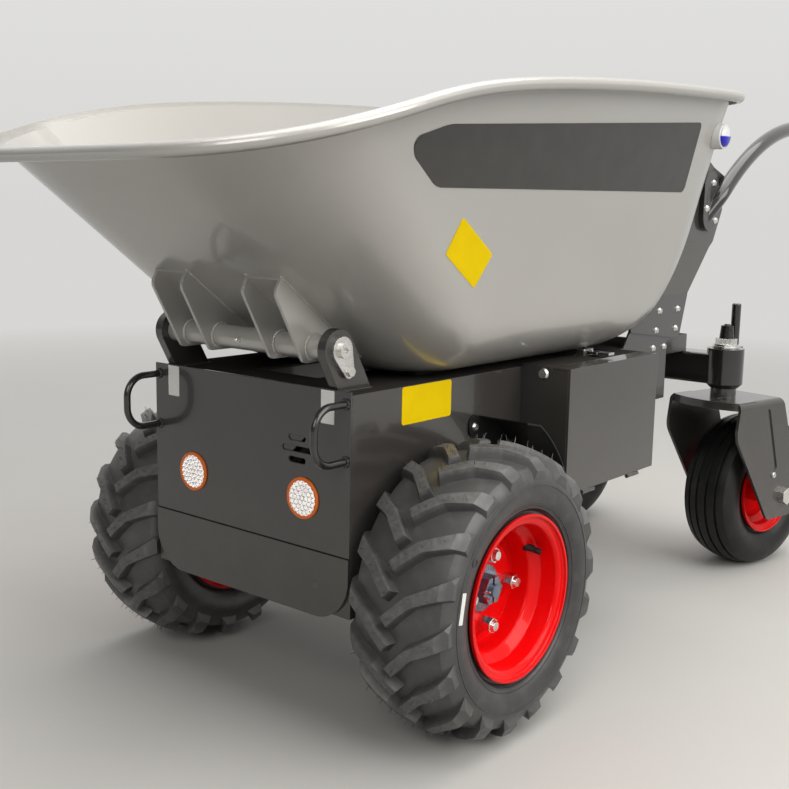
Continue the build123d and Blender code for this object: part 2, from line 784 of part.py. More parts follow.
# Drive wheels: rim, tyre with chevron lugs, hub with studs and shaft, wheel nuts
shoulder_half = 0.87 * tyre_half_width
carcass_radius = tyre_radius - lug_height
sidewall_radius = bead_radius + 0.47 * (carcass_radius - bead_radius)
bead_half = rim_half_width - rim_sheet
lug_normals = []
for (foot_u, foot_v), (head_u, head_v) in zip(lug_path, lug_path[1:]):
    run = sqrt((head_u - foot_u) ** 2 + (head_v - foot_v) ** 2)
    lug_normals.append(((head_v - foot_v) / run, (foot_u - head_u) / run))
mitre = 1 + lug_normals[0][0] * lug_normals[1][0] + lug_normals[0][1] * lug_normals[1][1]
lug_normals.insert(1, tuple((one + two) / mitre for one, two in zip(*lug_normals)))
lug_edges = [
    [(u + way * u_way * lug_width / 2, v + way * v_way * lug_width / 2)
     for (u, v), (u_way, v_way) in zip(lug_path, lug_normals)]
    for way in (1, -1)
]
lug_outline = lug_edges[0] + lug_edges[1][::-1]
for side, s in sides:
    wheel_centre = (axle_x, s * wheel_y, tyre_radius)
    wheel_axis = Axis(wheel_centre, (0, 1, 0))
    wheel_plane = Plane(origin=wheel_centre, x_dir=(0, s, 0), z_dir=(s, 0, 0))
    face_plane = Plane(origin=wheel_centre, x_dir=(1, 0, 0), z_dir=(0, s, 0))

    with BuildPart() as wheel_rim:
        with BuildSketch(wheel_plane):
            inner_drop = drop_radius - rim_sheet
            half_sheet = rim_sheet / 2
            barrel = [
                (rim_well, drop_radius - half_sheet), (rim_seat, bead_radius - half_sheet),
                (bead_half + half_sheet, bead_radius - half_sheet),
                (bead_half + half_sheet, rim_flange_radius - half_sheet),
                (bead_half + half_sheet + rim_curl, rim_flange_radius - half_sheet),
            ]
            with BuildLine():
                FilletPolyline(*[(-y, r) for y, r in reversed(barrel)], *barrel, radius=rim_bend)
            trace(line_width=rim_sheet)
            dish = disc_face - disc_sheet - 8
            Polygon(
                (dish, inner_drop + 1), (dish + disc_sheet, inner_drop + 1),
                (dish + disc_sheet, disc_flat_radius + 9), (disc_face, disc_flat_radius),
                (disc_face, hub_bore_radius), (disc_face - disc_sheet, hub_bore_radius),
                (disc_face - disc_sheet, disc_flat_radius - 2), (dish, disc_flat_radius + 7),
            )
        revolve(axis=wheel_axis)
        with BuildSketch(face_plane):
            with PolarLocations(stud_circle_radius, stud_count):
                Circle(stud_radius)
        extrude(amount=2 * disc_face, mode=Mode.SUBTRACT)
    wheel_rim.part.label = f"wheel_rim_{side}"
    export_step(wheel_rim.part, f"parts/wheel_rim_{side}.step")

    with BuildPart() as tyre_lugs:
        for lug in range(2 * lug_count):
            hand = 1 if lug % 2 == 0 else -1
            turn = radians(180 * lug / lug_count)
            lug_plane = Plane(origin=wheel_centre, x_dir=(cos(turn), 0, -sin(turn)),
                              z_dir=(sin(turn), 0, cos(turn)))
            with BuildSketch(lug_plane.offset(sidewall_radius)):
                Polygon(*[(along, hand * across) for along, across in lug_outline[::hand]])
        extrude(amount=tyre_radius - sidewall_radius + 20, taper=lug_draft)
        with BuildSketch(wheel_plane):
            with BuildLine():
                tread = ThreePointArc((shoulder_half, tyre_radius - tread_drop), (0, tyre_radius),
                                      (-shoulder_half, tyre_radius - tread_drop))
                Polyline(tread @ 1, (-tyre_half_width - 1.5, carcass_radius - 14),
                         (-tyre_half_width + 4, sidewall_radius + 8),
                         (-shoulder_half + 8, carcass_radius - 15),
                         (0, carcass_radius - 4), (shoulder_half - 8, carcass_radius - 15),
                         (tyre_half_width - 4, sidewall_radius + 8),
                         (tyre_half_width + 1.5, carcass_radius - 14),
                         tread @ 0)
            make_face()
        revolve(axis=wheel_axis, mode=Mode.INTERSECT)

    with BuildPart() as tyre:
        with BuildSketch(wheel_plane):
            with BuildLine():
                wall_foot = rim_flange_radius + bead_gap
                crown_edge = carcass_radius - carcass_drop
                bead_edge = bead_radius + bead_chamfer
                lining = bead_half - 1.5 * tyre_wall
                wall_out = ThreePointArc((bead_half, wall_foot), (tyre_half_width, sidewall_radius),
                                         (shoulder_half, crown_edge))
                crown_out = ThreePointArc(wall_out @ 1, (0, carcass_radius), (-shoulder_half, crown_edge))
                wall_far = ThreePointArc(crown_out @ 1, (-tyre_half_width, sidewall_radius),
                                         (-bead_half, wall_foot))
                Polyline(wall_far @ 1, (-bead_half, bead_edge), (-bead_half + bead_chamfer, bead_radius),
                         (-lining, bead_radius), (-lining, wall_foot))
                far_in = ThreePointArc((-lining, wall_foot), (-tyre_half_width + tyre_wall, sidewall_radius),
                                       (-shoulder_half + tyre_wall, crown_edge - tyre_wall))
                crown_in = ThreePointArc(far_in @ 1, (0, carcass_radius - tyre_wall),
                                         (shoulder_half - tyre_wall, crown_edge - tyre_wall))
                near_in = ThreePointArc(crown_in @ 1, (tyre_half_width - tyre_wall, sidewall_radius),
                                        (lining, wall_foot))
                Polyline(near_in @ 1, (lining, bead_radius), (bead_half - bead_chamfer, bead_radius),
                         (bead_half, bead_edge), wall_out @ 0)
            make_face()
        revolve(axis=wheel_axis)
        add(tyre_lugs.part)
    tyre.part.label = f"tyre_{side}"
    export_step(tyre.part, f"parts/tyre_{side}.step")

    with BuildPart() as hub:
        with BuildSketch(face_plane.offset(disc_face - disc_sheet)):
            Circle(hub_flange_radius)
        extrude(amount=-hub_flange)
        with BuildSketch(face_plane.offset(disc_face + 2)):
            Circle(hub_bore_radius)
        extrude(amount=-disc_sheet - 4)
        with BuildSketch(face_plane.offset(disc_face - disc_sheet)):
            Circle(hub_barrel_radius)
        extrude(amount=chassis_half + 4 - wheel_y - disc_face + disc_sheet)
        with BuildSketch(face_plane):
            Circle(axle_shaft_radius)
        extrude(amount=-axle_shaft_length)
        with BuildSketch(face_plane.offset(disc_face)):
            with PolarLocations(stud_circle_radius, stud_count):
                Circle(stud_radius)
        extrude(amount=wheel_nut_length - nut_cap)
        with BuildSketch(face_plane):
            with PolarLocations(stud_circle_radius, stud_count):
                Circle(stud_radius)
        extrude(amount=disc_face)
        with BuildSketch(face_plane.offset(disc_face + 2)):
            RegularPolygon(axle_nut_width / 2, 6, major_radius=False)
        extrude(amount=axle_nut_length)
        with BuildSketch(face_plane.offset(disc_face + 2 + axle_nut_length)):
            Rectangle(axle_nut_width, 4)
            Rectangle(4, axle_nut_width)
        extrude(amount=-5, mode=Mode.SUBTRACT)
        with BuildSketch(face_plane.offset(disc_face + 2 + axle_nut_length)):
            Circle(axle_nut_width / 4)
        extrude(amount=5)
    hub.part.label = f"wheel_hub_{side}"
    export_step(hub.part, f"parts/wheel_hub_{side}.step")

    with BuildPart() as wheel_nuts:
        with BuildSketch(face_plane.offset(disc_face)):
            with PolarLocations(stud_circle_radius, stud_count):
                RegularPolygon(wheel_nut_width / 2, 6, major_radius=False)
        extrude(amount=wheel_nut_length - nut_cap)
        with BuildSketch(face_plane.offset(disc_face + wheel_nut_length - nut_cap)):
            with PolarLocations(stud_circle_radius, stud_count):
                Circle(wheel_nut_width / 2 - 1)
        extrude(amount=nut_cap, taper=25)
        with BuildSketch(face_plane.offset(disc_face)):
            with PolarLocations(stud_circle_radius, stud_count):
                Circle(stud_radius)
        extrude(amount=wheel_nut_length - nut_cap, mode=Mode.SUBTRACT)
    wheel_nuts.part.label = f"wheel_nuts_{side}"
    export_step(wheel_nuts.part, f"parts/wheel_nuts_{side}.step")

# Rear beam: square tube with a swivel tube at each end and a guide for each swivel lock
lock_hole = lock_bar + 2 * lock_clearance
guide_size = lock_hole + 2 * lock_guide_wall
with BuildPart() as rear_beam:
    with BuildSketch(Plane.XZ):
        with Locations((swivel_x, beam_top - beam_size / 2)):
            RectangleRounded(beam_size, beam_size, 6)
    extrude(amount=swivel_y - swivel_tube_radius / 2, both=True)
    with BuildSketch(Plane.XY.offset(swivel_bottom + swivel_tube_chamfer)):
        with Locations((swivel_x, swivel_y), (swivel_x, -swivel_y)):
            Circle(swivel_tube_radius)
    extrude(amount=swivel_top - swivel_bottom - swivel_tube_chamfer)
    with BuildSketch(Plane.XY.offset(swivel_bottom + swivel_tube_chamfer)):
        with Locations((swivel_x, swivel_y), (swivel_x, -swivel_y)):
            Circle(swivel_tube_radius)
    extrude(amount=-swivel_tube_chamfer, taper=45)
    with BuildSketch(Plane.XY.offset(swivel_top - lock_guide_height)):
        with Locations((swivel_x - lock_offset + 4, swivel_y), (swivel_x - lock_offset + 4, -swivel_y)):
            Rectangle(guide_size + 8, guide_size)
    extrude(amount=lock_guide_height)
    with BuildSketch(Plane.XZ):
        with Locations((swivel_x, beam_top - beam_size / 2)):
            RectangleRounded(beam_size - 2 * beam_wall, beam_size - 2 * beam_wall, 3)
    extrude(amount=swivel_y - swivel_tube_radius, both=True, mode=Mode.SUBTRACT)
    with BuildSketch(Plane.XY.offset(swivel_bottom)):
        with Locations((swivel_x, swivel_y), (swivel_x, -swivel_y)):
            Circle(stem_radius + running_gap)
        with Locations((swivel_x - lock_offset, swivel_y), (swivel_x - lock_offset, -swivel_y)):
            Circle(lock_hole / 2)
    extrude(amount=swivel_top - swivel_bottom, mode=Mode.SUBTRACT)
rear_beam.part.label = "rear_beam"
export_step(rear_beam.part, "parts/rear_beam.step")

# Casters: fork with stem, fixings, ribbed tyre and rim, and the upright swivel lock beside each one
yaw_cos = cos(radians(caster_yaw))
yaw_sin = sin(radians(caster_yaw))
trail_way = (-yaw_cos, yaw_sin, 0)
left_way = (yaw_sin, yaw_cos, 0)
leg_inner = fork_half - fork_plate
leg_top = fork_top - fork_plate
stem_top = swivel_top + swivel_gap + swivel_washer + swivel_nut
caster_wall = 8.0
caster_crown = 10.0
caster_shoulder = 0.84 * caster_half_width
caster_side_radius = caster_bead_radius + 0.5 * (caster_radius - caster_bead_radius)
caster_bead_half = caster_rim_half - rim_sheet
for side, s in sides:
    swivel_plane = Plane(origin=(swivel_x, s * swivel_y, 0), x_dir=trail_way, z_dir=(0, 0, 1))
    leg_plane = Plane(origin=(swivel_x, s * swivel_y, 0), x_dir=trail_way, z_dir=left_way)
    fold_plane = Plane(origin=(swivel_x, s * swivel_y, 0), x_dir=left_way, z_dir=(yaw_cos, -yaw_sin, 0))
    hub_centre = (swivel_x - caster_trail * yaw_cos, s * swivel_y + caster_trail * yaw_sin, caster_radius)
    hub_axis = Axis(hub_centre, left_way)
    hub_plane = Plane(origin=hub_centre, x_dir=left_way, z_dir=(yaw_cos, -yaw_sin, 0))
    bolt_plane = Plane(origin=hub_centre, x_dir=(0, 0, 1), z_dir=left_way)

    with BuildPart() as caster_fork:
        with BuildSketch(fold_plane.offset(fork_front + fork_bow)):
            with BuildLine():
                fold_half = fork_half - fork_plate / 2
                fold_top = fork_top - fork_plate / 2
                FilletPolyline((-fold_half, 0), (-fold_half, fold_top), (fold_half, fold_top),
                               (fold_half, 0), radius=fork_bend - fork_plate / 2)
            trace(line_width=fork_plate)
        extrude(amount=-2 * caster_trail - fork_front - fork_bow)
        with BuildSketch(leg_plane.offset(-fork_half - 1)):
            Polygon(*fork_outline)
            fillet(vertices().filter_by_position(Axis.Y, 0, 150), fork_corner)
            fillet(vertices().filter_by_position(Axis.X, -70, -60), fork_shoulder)
            fillet(vertices().filter_by_position(Axis.X, 145, 150), fork_shoulder)
            with Locations((caster_trail, caster_radius)):
                Circle(caster_axle_radius, mode=Mode.SUBTRACT)
        extrude(amount=2 * fork_half + 2, mode=Mode.INTERSECT)
        bow_half = fork_half - fork_bend / 2
        for lip_depth, lip_width in ((fork_plate, fork_front), (fork_lip, fork_plate)):
            with BuildSketch(swivel_plane.offset(fork_top)):
                with BuildLine():
                    bow = ThreePointArc((-fork_front, -bow_half), (-fork_front - fork_bow, 0),
                                        (-fork_front, bow_half))
                    rear_bow = ThreePointArc((lip_width - fork_front, -bow_half),
                                             (lip_width - fork_front - fork_bow, 0),
                                             (lip_width - fork_front, bow_half))
                    Line(bow @ 0, rear_bow @ 0)
                    Line(bow @ 1, rear_bow @ 1)
                make_face()
            extrude(amount=-lip_depth)
        with BuildSketch(swivel_plane.offset(fork_top - fork_plate)):
            with Locations((fork_rear - fork_plate, 0)):
                Rectangle(fork_plate, 2 * leg_inner + 2)
        extrude(amount=-fork_rear_wall + fork_plate)
        groove_x, groove_z, groove_end_x, groove_end_z = fork_groove
        groove_way = (groove_end_x - groove_x, groove_end_z - groove_z)
        for groove_plane, groove_depth in ((leg_plane.offset(fork_half), -fork_groove_depth),
                                           (leg_plane.offset(-fork_half), fork_groove_depth)):
            with BuildSketch(groove_plane):
                with Locations(((groove_x + groove_end_x) / 2, (groove_z + groove_end_z) / 2)):
                    SlotOverall(sqrt(groove_way[0] ** 2 + groove_way[1] ** 2), fork_groove_width,
                                rotation=degrees(atan2(groove_way[1], groove_way[0])))
            extrude(amount=groove_depth, mode=Mode.SUBTRACT)
        with BuildSketch(swivel_plane.offset(fork_top)):
            with Locations(lock_slot):
                Circle(lock_hole / 2)
        extrude(amount=-fork_plate, mode=Mode.SUBTRACT)
        with BuildSketch(swivel_plane.offset(leg_top)):
            Circle(collar_radius)
        extrude(amount=swivel_bottom - swivel_gap - leg_top)
        with BuildSketch(swivel_plane.offset(leg_top)):
            Circle(stem_radius)
        extrude(amount=stem_top - leg_top)
    caster_fork.part.label = f"caster_fork_{side}"
    export_step(caster_fork.part, f"parts/caster_fork_{side}.step")

    with BuildPart() as caster_fixings:
        with BuildSketch(swivel_plane.offset(swivel_top + swivel_gap)):
            Circle(swivel_washer_radius)
            Circle(stem_radius, mode=Mode.SUBTRACT)
        extrude(amount=swivel_washer / 2)
        with BuildSketch(swivel_plane.offset(swivel_top + swivel_gap + swivel_washer / 2)):
            Circle(swivel_washer_radius - 2)
            Circle(stem_radius, mode=Mode.SUBTRACT)
        extrude(amount=swivel_washer / 2)
        with BuildSketch(swivel_plane.offset(swivel_top + swivel_gap + swivel_washer)):
            RegularPolygon(swivel_nut_width / 2, 6, major_radius=False)
            Circle(stem_radius, mode=Mode.SUBTRACT)
        extrude(amount=swivel_nut)
        with BuildSketch(swivel_plane.offset(stem_top)):
            Circle(swivel_cap_radius)
        extrude(amount=swivel_cap, taper=swivel_cap_draft)
        with BuildSketch(swivel_plane.offset(stem_top + swivel_cap)):
            Circle(swivel_nub_radius)
        extrude(amount=swivel_nub, taper=30)
        with BuildSketch(bolt_plane.offset(-fork_half)):
            Circle(caster_axle_radius)
        extrude(amount=2 * fork_half)
        with BuildSketch(bolt_plane.offset(fork_half)):
            RegularPolygon(axle_head_width / 2, 6, major_radius=False)
        extrude(amount=axle_head)
        with BuildSketch(bolt_plane.offset(-fork_half)):
            RegularPolygon(axle_head_width / 2, 6, major_radius=False)
        extrude(amount=-axle_head)
    caster_fixings.part.label = f"caster_fixings_{side}"
    export_step(caster_fixings.part, f"parts/caster_fixings_{side}.step")

    with BuildPart() as caster_rim:
        with BuildSketch(hub_plane):
            half_sheet = rim_sheet / 2
            barrel = caster_drop_radius - rim_sheet
            well = [
                (caster_well, caster_drop_radius - half_sheet),
                (caster_seat, caster_bead_radius - half_sheet),
                (caster_bead_half + half_sheet, caster_bead_radius - half_sheet),
                (caster_bead_half + half_sheet, caster_flange_radius - half_sheet),
                (caster_bead_half + half_sheet + rim_curl, caster_flange_radius - half_sheet),
            ]
            with BuildLine():
                FilletPolyline(*[(-y, r) for y, r in reversed(well)], *well, radius=rim_bend - 1)
            trace(line_width=rim_sheet)
            Polygon((-3, barrel + 1), (3, barrel + 1), (3, caster_hub_radius - 1),
                    (-3, caster_hub_radius - 1))
            Polygon((-leg_inner + 0.5, caster_hub_radius), (leg_inner - 0.5, caster_hub_radius),
                    (leg_inner - 0.5, caster_axle_radius + running_gap),
                    (-leg_inner + 0.5, caster_axle_radius + running_gap))
        revolve(axis=hub_axis)
    caster_rim.part.label = f"caster_rim_{side}"
    export_step(caster_rim.part, f"parts/caster_rim_{side}.step")

    with BuildPart() as caster_tyre:
        with BuildSketch(hub_plane):
            with BuildLine():
                wall_foot = caster_flange_radius + bead_gap
                crown_edge = caster_radius - caster_crown
                bead_edge = caster_bead_radius + bead_chamfer
                lining = caster_bead_half - 1.5 * caster_wall
                wall_out = ThreePointArc((caster_bead_half, wall_foot),
                                         (caster_half_width, caster_side_radius),
                                         (caster_shoulder, crown_edge))
                crown_out = ThreePointArc(wall_out @ 1, (0, caster_radius), (-caster_shoulder, crown_edge))
                wall_far = ThreePointArc(crown_out @ 1, (-caster_half_width, caster_side_radius),
                                         (-caster_bead_half, wall_foot))
                Polyline(wall_far @ 1, (-caster_bead_half, bead_edge),
                         (-caster_bead_half + bead_chamfer, caster_bead_radius),
                         (-lining, caster_bead_radius), (-lining, wall_foot))
                far_in = ThreePointArc((-lining, wall_foot),
                                       (-caster_half_width + caster_wall, caster_side_radius),
                                       (-caster_shoulder + caster_wall, crown_edge - 1.6 * caster_wall))
                crown_in = ThreePointArc(far_in @ 1, (0, caster_radius - 1.6 * caster_wall),
                                         (caster_shoulder - caster_wall, crown_edge - 1.6 * caster_wall))
                near_in = ThreePointArc(crown_in @ 1, (caster_half_width - caster_wall, caster_side_radius),
                                        (lining, wall_foot))
                Polyline(near_in @ 1, (lining, caster_bead_radius),
                         (caster_bead_half - bead_chamfer, caster_bead_radius),
                         (caster_bead_half, bead_edge), wall_out @ 0)
            make_face()
            for groove_at in caster_grooves:
                groove_drop = caster_crown * (groove_at / caster_shoulder) ** 2
                groove_foot = caster_radius - groove_drop - caster_groove_depth
                with Locations((groove_at, groove_foot + 10)):
                    Rectangle(caster_groove, 20, mode=Mode.SUBTRACT)
        revolve(axis=hub_axis)
    caster_tyre.part.label = f"caster_tyre_{side}"
    export_step(caster_tyre.part, f"parts/caster_tyre_{side}.step")

    with BuildPart() as swivel_lock:
        with BuildSketch(Plane.XY.offset(fork_top + lock_nose_gap)):
            with Locations((swivel_x - lock_offset, s * swivel_y)):
                Circle(lock_bar / 2)
        extrude(amount=lock_top - fork_top - lock_nose_gap)
        chamfer(faces().sort_by(Axis.Z)[-1].edges(), 2)
    swivel_lock.part.label = f"swivel_lock_{side}"
    export_step(swivel_lock.part, f"parts/swivel_lock_{side}.step")

# Battery boxes: sheet tray on each rail, drop-down door with a folded top flange, toggle latch on top
box_rear = box_front - box_length
box_middle = (box_front + box_rear) / 2
tray_outer = box_outer - box_sheet - door_gap
flange_inner = box_outer - door_flange
hinge_y = box_outer - box_sheet / 2
hinge_z = box_bottom - hinge_drop
hinge_spots = (box_front - hinge_inset, box_rear + hinge_inset + 2 * hinge_width)
latch_pivot_y = chassis_half + 14
latch_pivot_z = box_top + 6
latch_pin_radius = 2.5
latch_base_width = 4.0
for side, s in sides:
    with BuildPart() as battery_box:
        with BuildSketch(side_plane(tray_outer)):
            with Locations((box_middle, (box_bottom + box_top) / 2)):
                Rectangle(box_length, box_top - box_bottom)
        extrude(amount=tray_outer - chassis_half)
        with BuildSketch(side_plane(tray_outer)):
            with Locations((box_middle, (box_bottom + box_top) / 2)):
                Rectangle(box_length - 2 * box_sheet, box_top - box_bottom - 2 * box_sheet)
        extrude(amount=tray_outer - chassis_half - box_sheet, mode=Mode.SUBTRACT)
        with BuildSketch(Plane.XY.offset(box_top)):
            with Locations((box_middle, (flange_inner - door_gap + tray_outer) / 2)):
                Rectangle(box_length, tray_outer - flange_inner + door_gap)
        extrude(amount=-box_sheet - door_gap, mode=Mode.SUBTRACT)
        for spot in hinge_spots:
            with BuildSketch(Plane.YZ.offset(spot - hinge_width)):
                with Locations((hinge_y, hinge_z)):
                    Circle(hinge_radius)
                Polygon((tray_outer - 12, box_bottom), (tray_outer, box_bottom),
                        (hinge_y, hinge_z + hinge_radius - 0.6), (hinge_y, hinge_z - hinge_radius + 0.6),
                        (tray_outer - 12, box_bottom - hinge_leaf))
            extrude(amount=-hinge_width)
            with BuildSketch(Plane.YZ.offset(spot)):
                with Locations((hinge_y, hinge_z)):
                    Circle(hinge_pin_radius)
            extrude(amount=-2 * hinge_width)
        if s < 0:
            mirror(about=Plane.XZ, mode=Mode.REPLACE)
    battery_box.part.label = f"battery_box_{side}"
    export_step(battery_box.part, f"parts/battery_box_{side}.step")

    with BuildPart() as box_door:
        with BuildSketch(side_plane(box_outer)):
            with Locations((box_middle, (box_bottom + box_top) / 2)):
                Rectangle(box_length, box_top - box_bottom)
        extrude(amount=box_sheet)
        with BuildSketch(Plane.XY.offset(box_top)):
            with Locations((box_middle, (flange_inner + box_outer) / 2)):
                Rectangle(box_length, door_flange)
        extrude(amount=-box_sheet)
        for spot in hinge_spots:
            with BuildSketch(Plane.YZ.offset(spot)):
                with Locations((hinge_y, hinge_z)):
                    Circle(hinge_radius)
                Polygon((box_outer - box_sheet, box_bottom + 0.5), (box_outer, box_bottom + 0.5),
                        (hinge_y + 2.6, hinge_z + 1), (hinge_y - 2.6, hinge_z + 1))
                with Locations((hinge_y, hinge_z)):
                    Circle(hinge_pin_radius + running_gap, mode=Mode.SUBTRACT)
            extrude(amount=-hinge_width + swivel_gap)
        if s < 0:
            mirror(about=Plane.XZ, mode=Mode.REPLACE)
    box_door.part.label = f"box_door_{side}"
    export_step(box_door.part, f"parts/box_door_{side}.step")

    with BuildPart() as door_latch:
        with BuildSketch(Plane.XY.offset(latch_pivot_z - 2)):
            with Locations((latch_x, latch_pivot_y + 14)):
                Rectangle(latch_width - 2 * latch_base_width - 1, 28)
        extrude(amount=4)
        with Locations((latch_x, latch_pivot_y, latch_pivot_z)):
            Cylinder(4.5, latch_width - 2 * latch_base_width - 1, rotation=(0, 90, 0))
            Cylinder(latch_pin_radius + running_gap, latch_width, rotation=(0, 90, 0), mode=Mode.SUBTRACT)
        with BuildSketch(Plane.XY.offset(latch_pivot_z - 2)):
            with Locations((latch_x - 7, latch_pivot_y + 36), (latch_x + 7, latch_pivot_y + 36)):
                Rectangle(4, 22)
            with Locations((latch_x, latch_pivot_y + 47)):
                Rectangle(18, 4)
        extrude(amount=4)
        if s < 0:
            mirror(about=Plane.XZ, mode=Mode.REPLACE)
    door_latch.part.label = f"door_latch_{side}"
    export_step(door_latch.part, f"parts/door_latch_{side}.step")

# Latch bases: two cheeks and a pin on each box
with BuildPart() as latch_bases:
    with BuildSketch(Plane.XY.offset(box_top)):
        with Locations((latch_x, latch_pivot_y - 2)):
            Rectangle(latch_width, 20)
    extrude(amount=1.2)
    with BuildSketch(Plane.XY.offset(box_top)):
        with Locations((latch_x - latch_width / 2 + latch_base_width / 2, latch_pivot_y),
                       (latch_x + latch_width / 2 - latch_base_width / 2, latch_pivot_y)):
            Rectangle(latch_base_width, 14)
    extrude(amount=latch_pivot_z + 5 - box_top)
    with Locations((latch_x, latch_pivot_y, latch_pivot_z)):
        Cylinder(latch_pin_radius, latch_width, rotation=(0, 90, 0))
    mirror(about=Plane.XZ)
latch_bases.part.label = "latch_bases"
export_step(latch_bases.part, "parts/latch_bases.step")

# Batteries standing in the boxes
with BuildPart() as batteries:
    battery_depth = tray_outer - chassis_half - 2 * box_sheet - battery_gap
    with Locations((box_middle, chassis_half + box_sheet + battery_depth / 2, box_bottom + box_sheet + 84)):
        Box(box_length - 2 * box_sheet - 2 * battery_gap, battery_depth, 168)
    with Locations((box_middle - 90, chassis_half + 40, box_bottom + box_sheet + 168 + 4),
                   (box_middle + 90, chassis_half + 40, box_bottom + box_sheet + 168 + 4)):
        Cylinder(7, 8)
    mirror(about=Plane.XZ)
batteries.part.label = "batteries"
export_step(batteries.part, "parts/batteries.step")

# Mast plates: bent outwards above the foot, bolted to the chassis upstands
mast_outline = [
    (axle_x - 540, 506), (axle_x - 573, 524), (axle_x - 637, 580), (axle_x - 659, 655),
    (axle_x - 696, mast_top), (axle_x - 745, mast_top), (axle_x - 775, mast_top - 15),
    (axle_x - 824, mast_top - 30), (axle_x - 820, 719), (axle_x - 782, 651), (axle_x - 770, 560),
    (axle_x - 745, mast_foot_z), (axle_x - 720, mast_foot_z),
]
mast_lower_y = chassis_half + mast_plate
mast_bend = atan2(mast_upper_y - mast_lower_y, mast_bend_high - mast_bend_low)
bend_shift = mast_plate * tan(mast_bend / 2)
for side, s in sides:
    with BuildPart() as mast:
        with BuildSketch(Plane.YZ.offset(axle_x - 900)):
            Polygon(
                (mast_lower_y, mast_foot_z), (mast_lower_y, mast_bend_low), (mast_upper_y, mast_bend_high),
                (mast_upper_y, mast_top), (mast_upper_y - mast_plate, mast_top),
                (mast_upper_y - mast_plate, mast_bend_high + bend_shift),
                (mast_lower_y - mast_plate, mast_bend_low + bend_shift),
                (mast_lower_y - mast_plate, mast_foot_z),
            )
        extrude(amount=430)
        with BuildSketch(side_plane(mast_upper_y + 20)):
            Polygon(*mast_outline)
            fillet(vertices(), 6)
        extrude(amount=mast_upper_y, mode=Mode.INTERSECT)
        if s < 0:
            mirror(about=Plane.XZ, mode=Mode.REPLACE)
    mast.part.label = f"mast_plate_{side}"
    export_step(mast.part, f"parts/mast_plate_{side}.step")

# Console between the mast plates, open below, its panel sloping towards the operator
console_half = mast_upper_y - mast_plate
console_front = axle_x - 722.0
panel_low = (axle_x - 816.0, console_z + 14)
panel_high = (axle_x - 783.0, console_top)
panel_tilt = atan2(panel_high[0] - panel_low[0], panel_high[1] - panel_low[1])
panel = Plane(
    origin=((panel_low[0] + panel_high[0]) / 2, 0, (panel_low[1] + panel_high[1]) / 2),
    x_dir=(0, -1, 0),
    z_dir=(-cos(panel_tilt), 0, sin(panel_tilt)),
)
key_u = -150.0
direction_u = -60.0
tip_u = 30.0
stop_u = 140.0
key_radius = 9.0
stop_stem = 7.0
rocker_width = 18.0
rocker_length = 27.0
switch_gap = 0.4
with BuildPart() as console:
    with BuildSketch(side_plane(console_half)):
        Polygon((console_front, console_z), (console_front, console_top), panel_high, panel_low,
                (panel_low[0] + 4, console_z))
    extrude(amount=2 * console_half)
    with BuildSketch(side_plane(console_half - console_sheet)):
        Polygon((console_front - console_sheet, console_z - 1),
                (console_front - console_sheet, console_top - 4),
                (panel_high[0] + 3.5, console_top - 4), (panel_low[0] + 3.5, panel_low[1]),
                (panel_low[0] + 8, console_z - 1))
    extrude(amount=2 * (console_half - console_sheet), mode=Mode.SUBTRACT)
    with BuildSketch(panel.offset(1)):
        with Locations((key_u, 0)):
            Circle(key_radius + switch_gap)
        with Locations((direction_u, 0), (tip_u, 0)):
            Rectangle(rocker_width + 2 * switch_gap, rocker_length + 10 * switch_gap)
        with Locations((stop_u, 0)):
            Circle(stop_stem + switch_gap)
    extrude(amount=-12, mode=Mode.SUBTRACT)
console.part.label = "console"
export_step(console.part, "parts/console.step")

with BuildPart() as key:
    with BuildSketch(panel.offset(-14)):
        with Locations((key_u, 0)):
            Circle(key_radius)
    extrude(amount=18)
    with BuildSketch(panel.offset(4)):
        with Locations((key_u, 0)):
            Rectangle(3, 12)
    extrude(amount=8)
    with BuildSketch(panel.offset(12)):
        with Locations((key_u, 0)):
            Rectangle(3, 24)
    extrude(amount=22)
key.part.label = "key"
export_step(key.part, "parts/key.step")

for rocker_name, rocker_u in (("direction_switch", direction_u), ("tip_switch", tip_u)):
    rocker_spot = panel.from_local_coords(Vector(rocker_u - rocker_width / 2, 0, 0))
    with BuildPart() as rocker:
        with BuildSketch(Plane(origin=rocker_spot, x_dir=panel.y_dir, z_dir=panel.x_dir)):
            half = rocker_length / 2
            Polygon((-half, -5), (half, -5), (half, 5.5), (0, 2.5), (-half, 5.5))
        extrude(amount=rocker_width)
    rocker.part.label = rocker_name
    export_step(rocker.part, f"parts/{rocker_name}.step")

with BuildPart() as emergency_stop:
    with BuildSketch(panel.offset(-12)):
        with Locations((stop_u, 0)):
            Circle(stop_stem)
    extrude(amount=22)
    with BuildSketch(panel.offset(10)):
        with Locations((stop_u, 0)):
            Circle(20)
    extrude(amount=15)
    fillet(faces().sort_by(Axis(panel.origin, panel.z_dir))[-1].edges(), 7)
emergency_stop.part.label = "emergency_stop"
export_step(emergency_stop.part, "parts/emergency_stop.step")

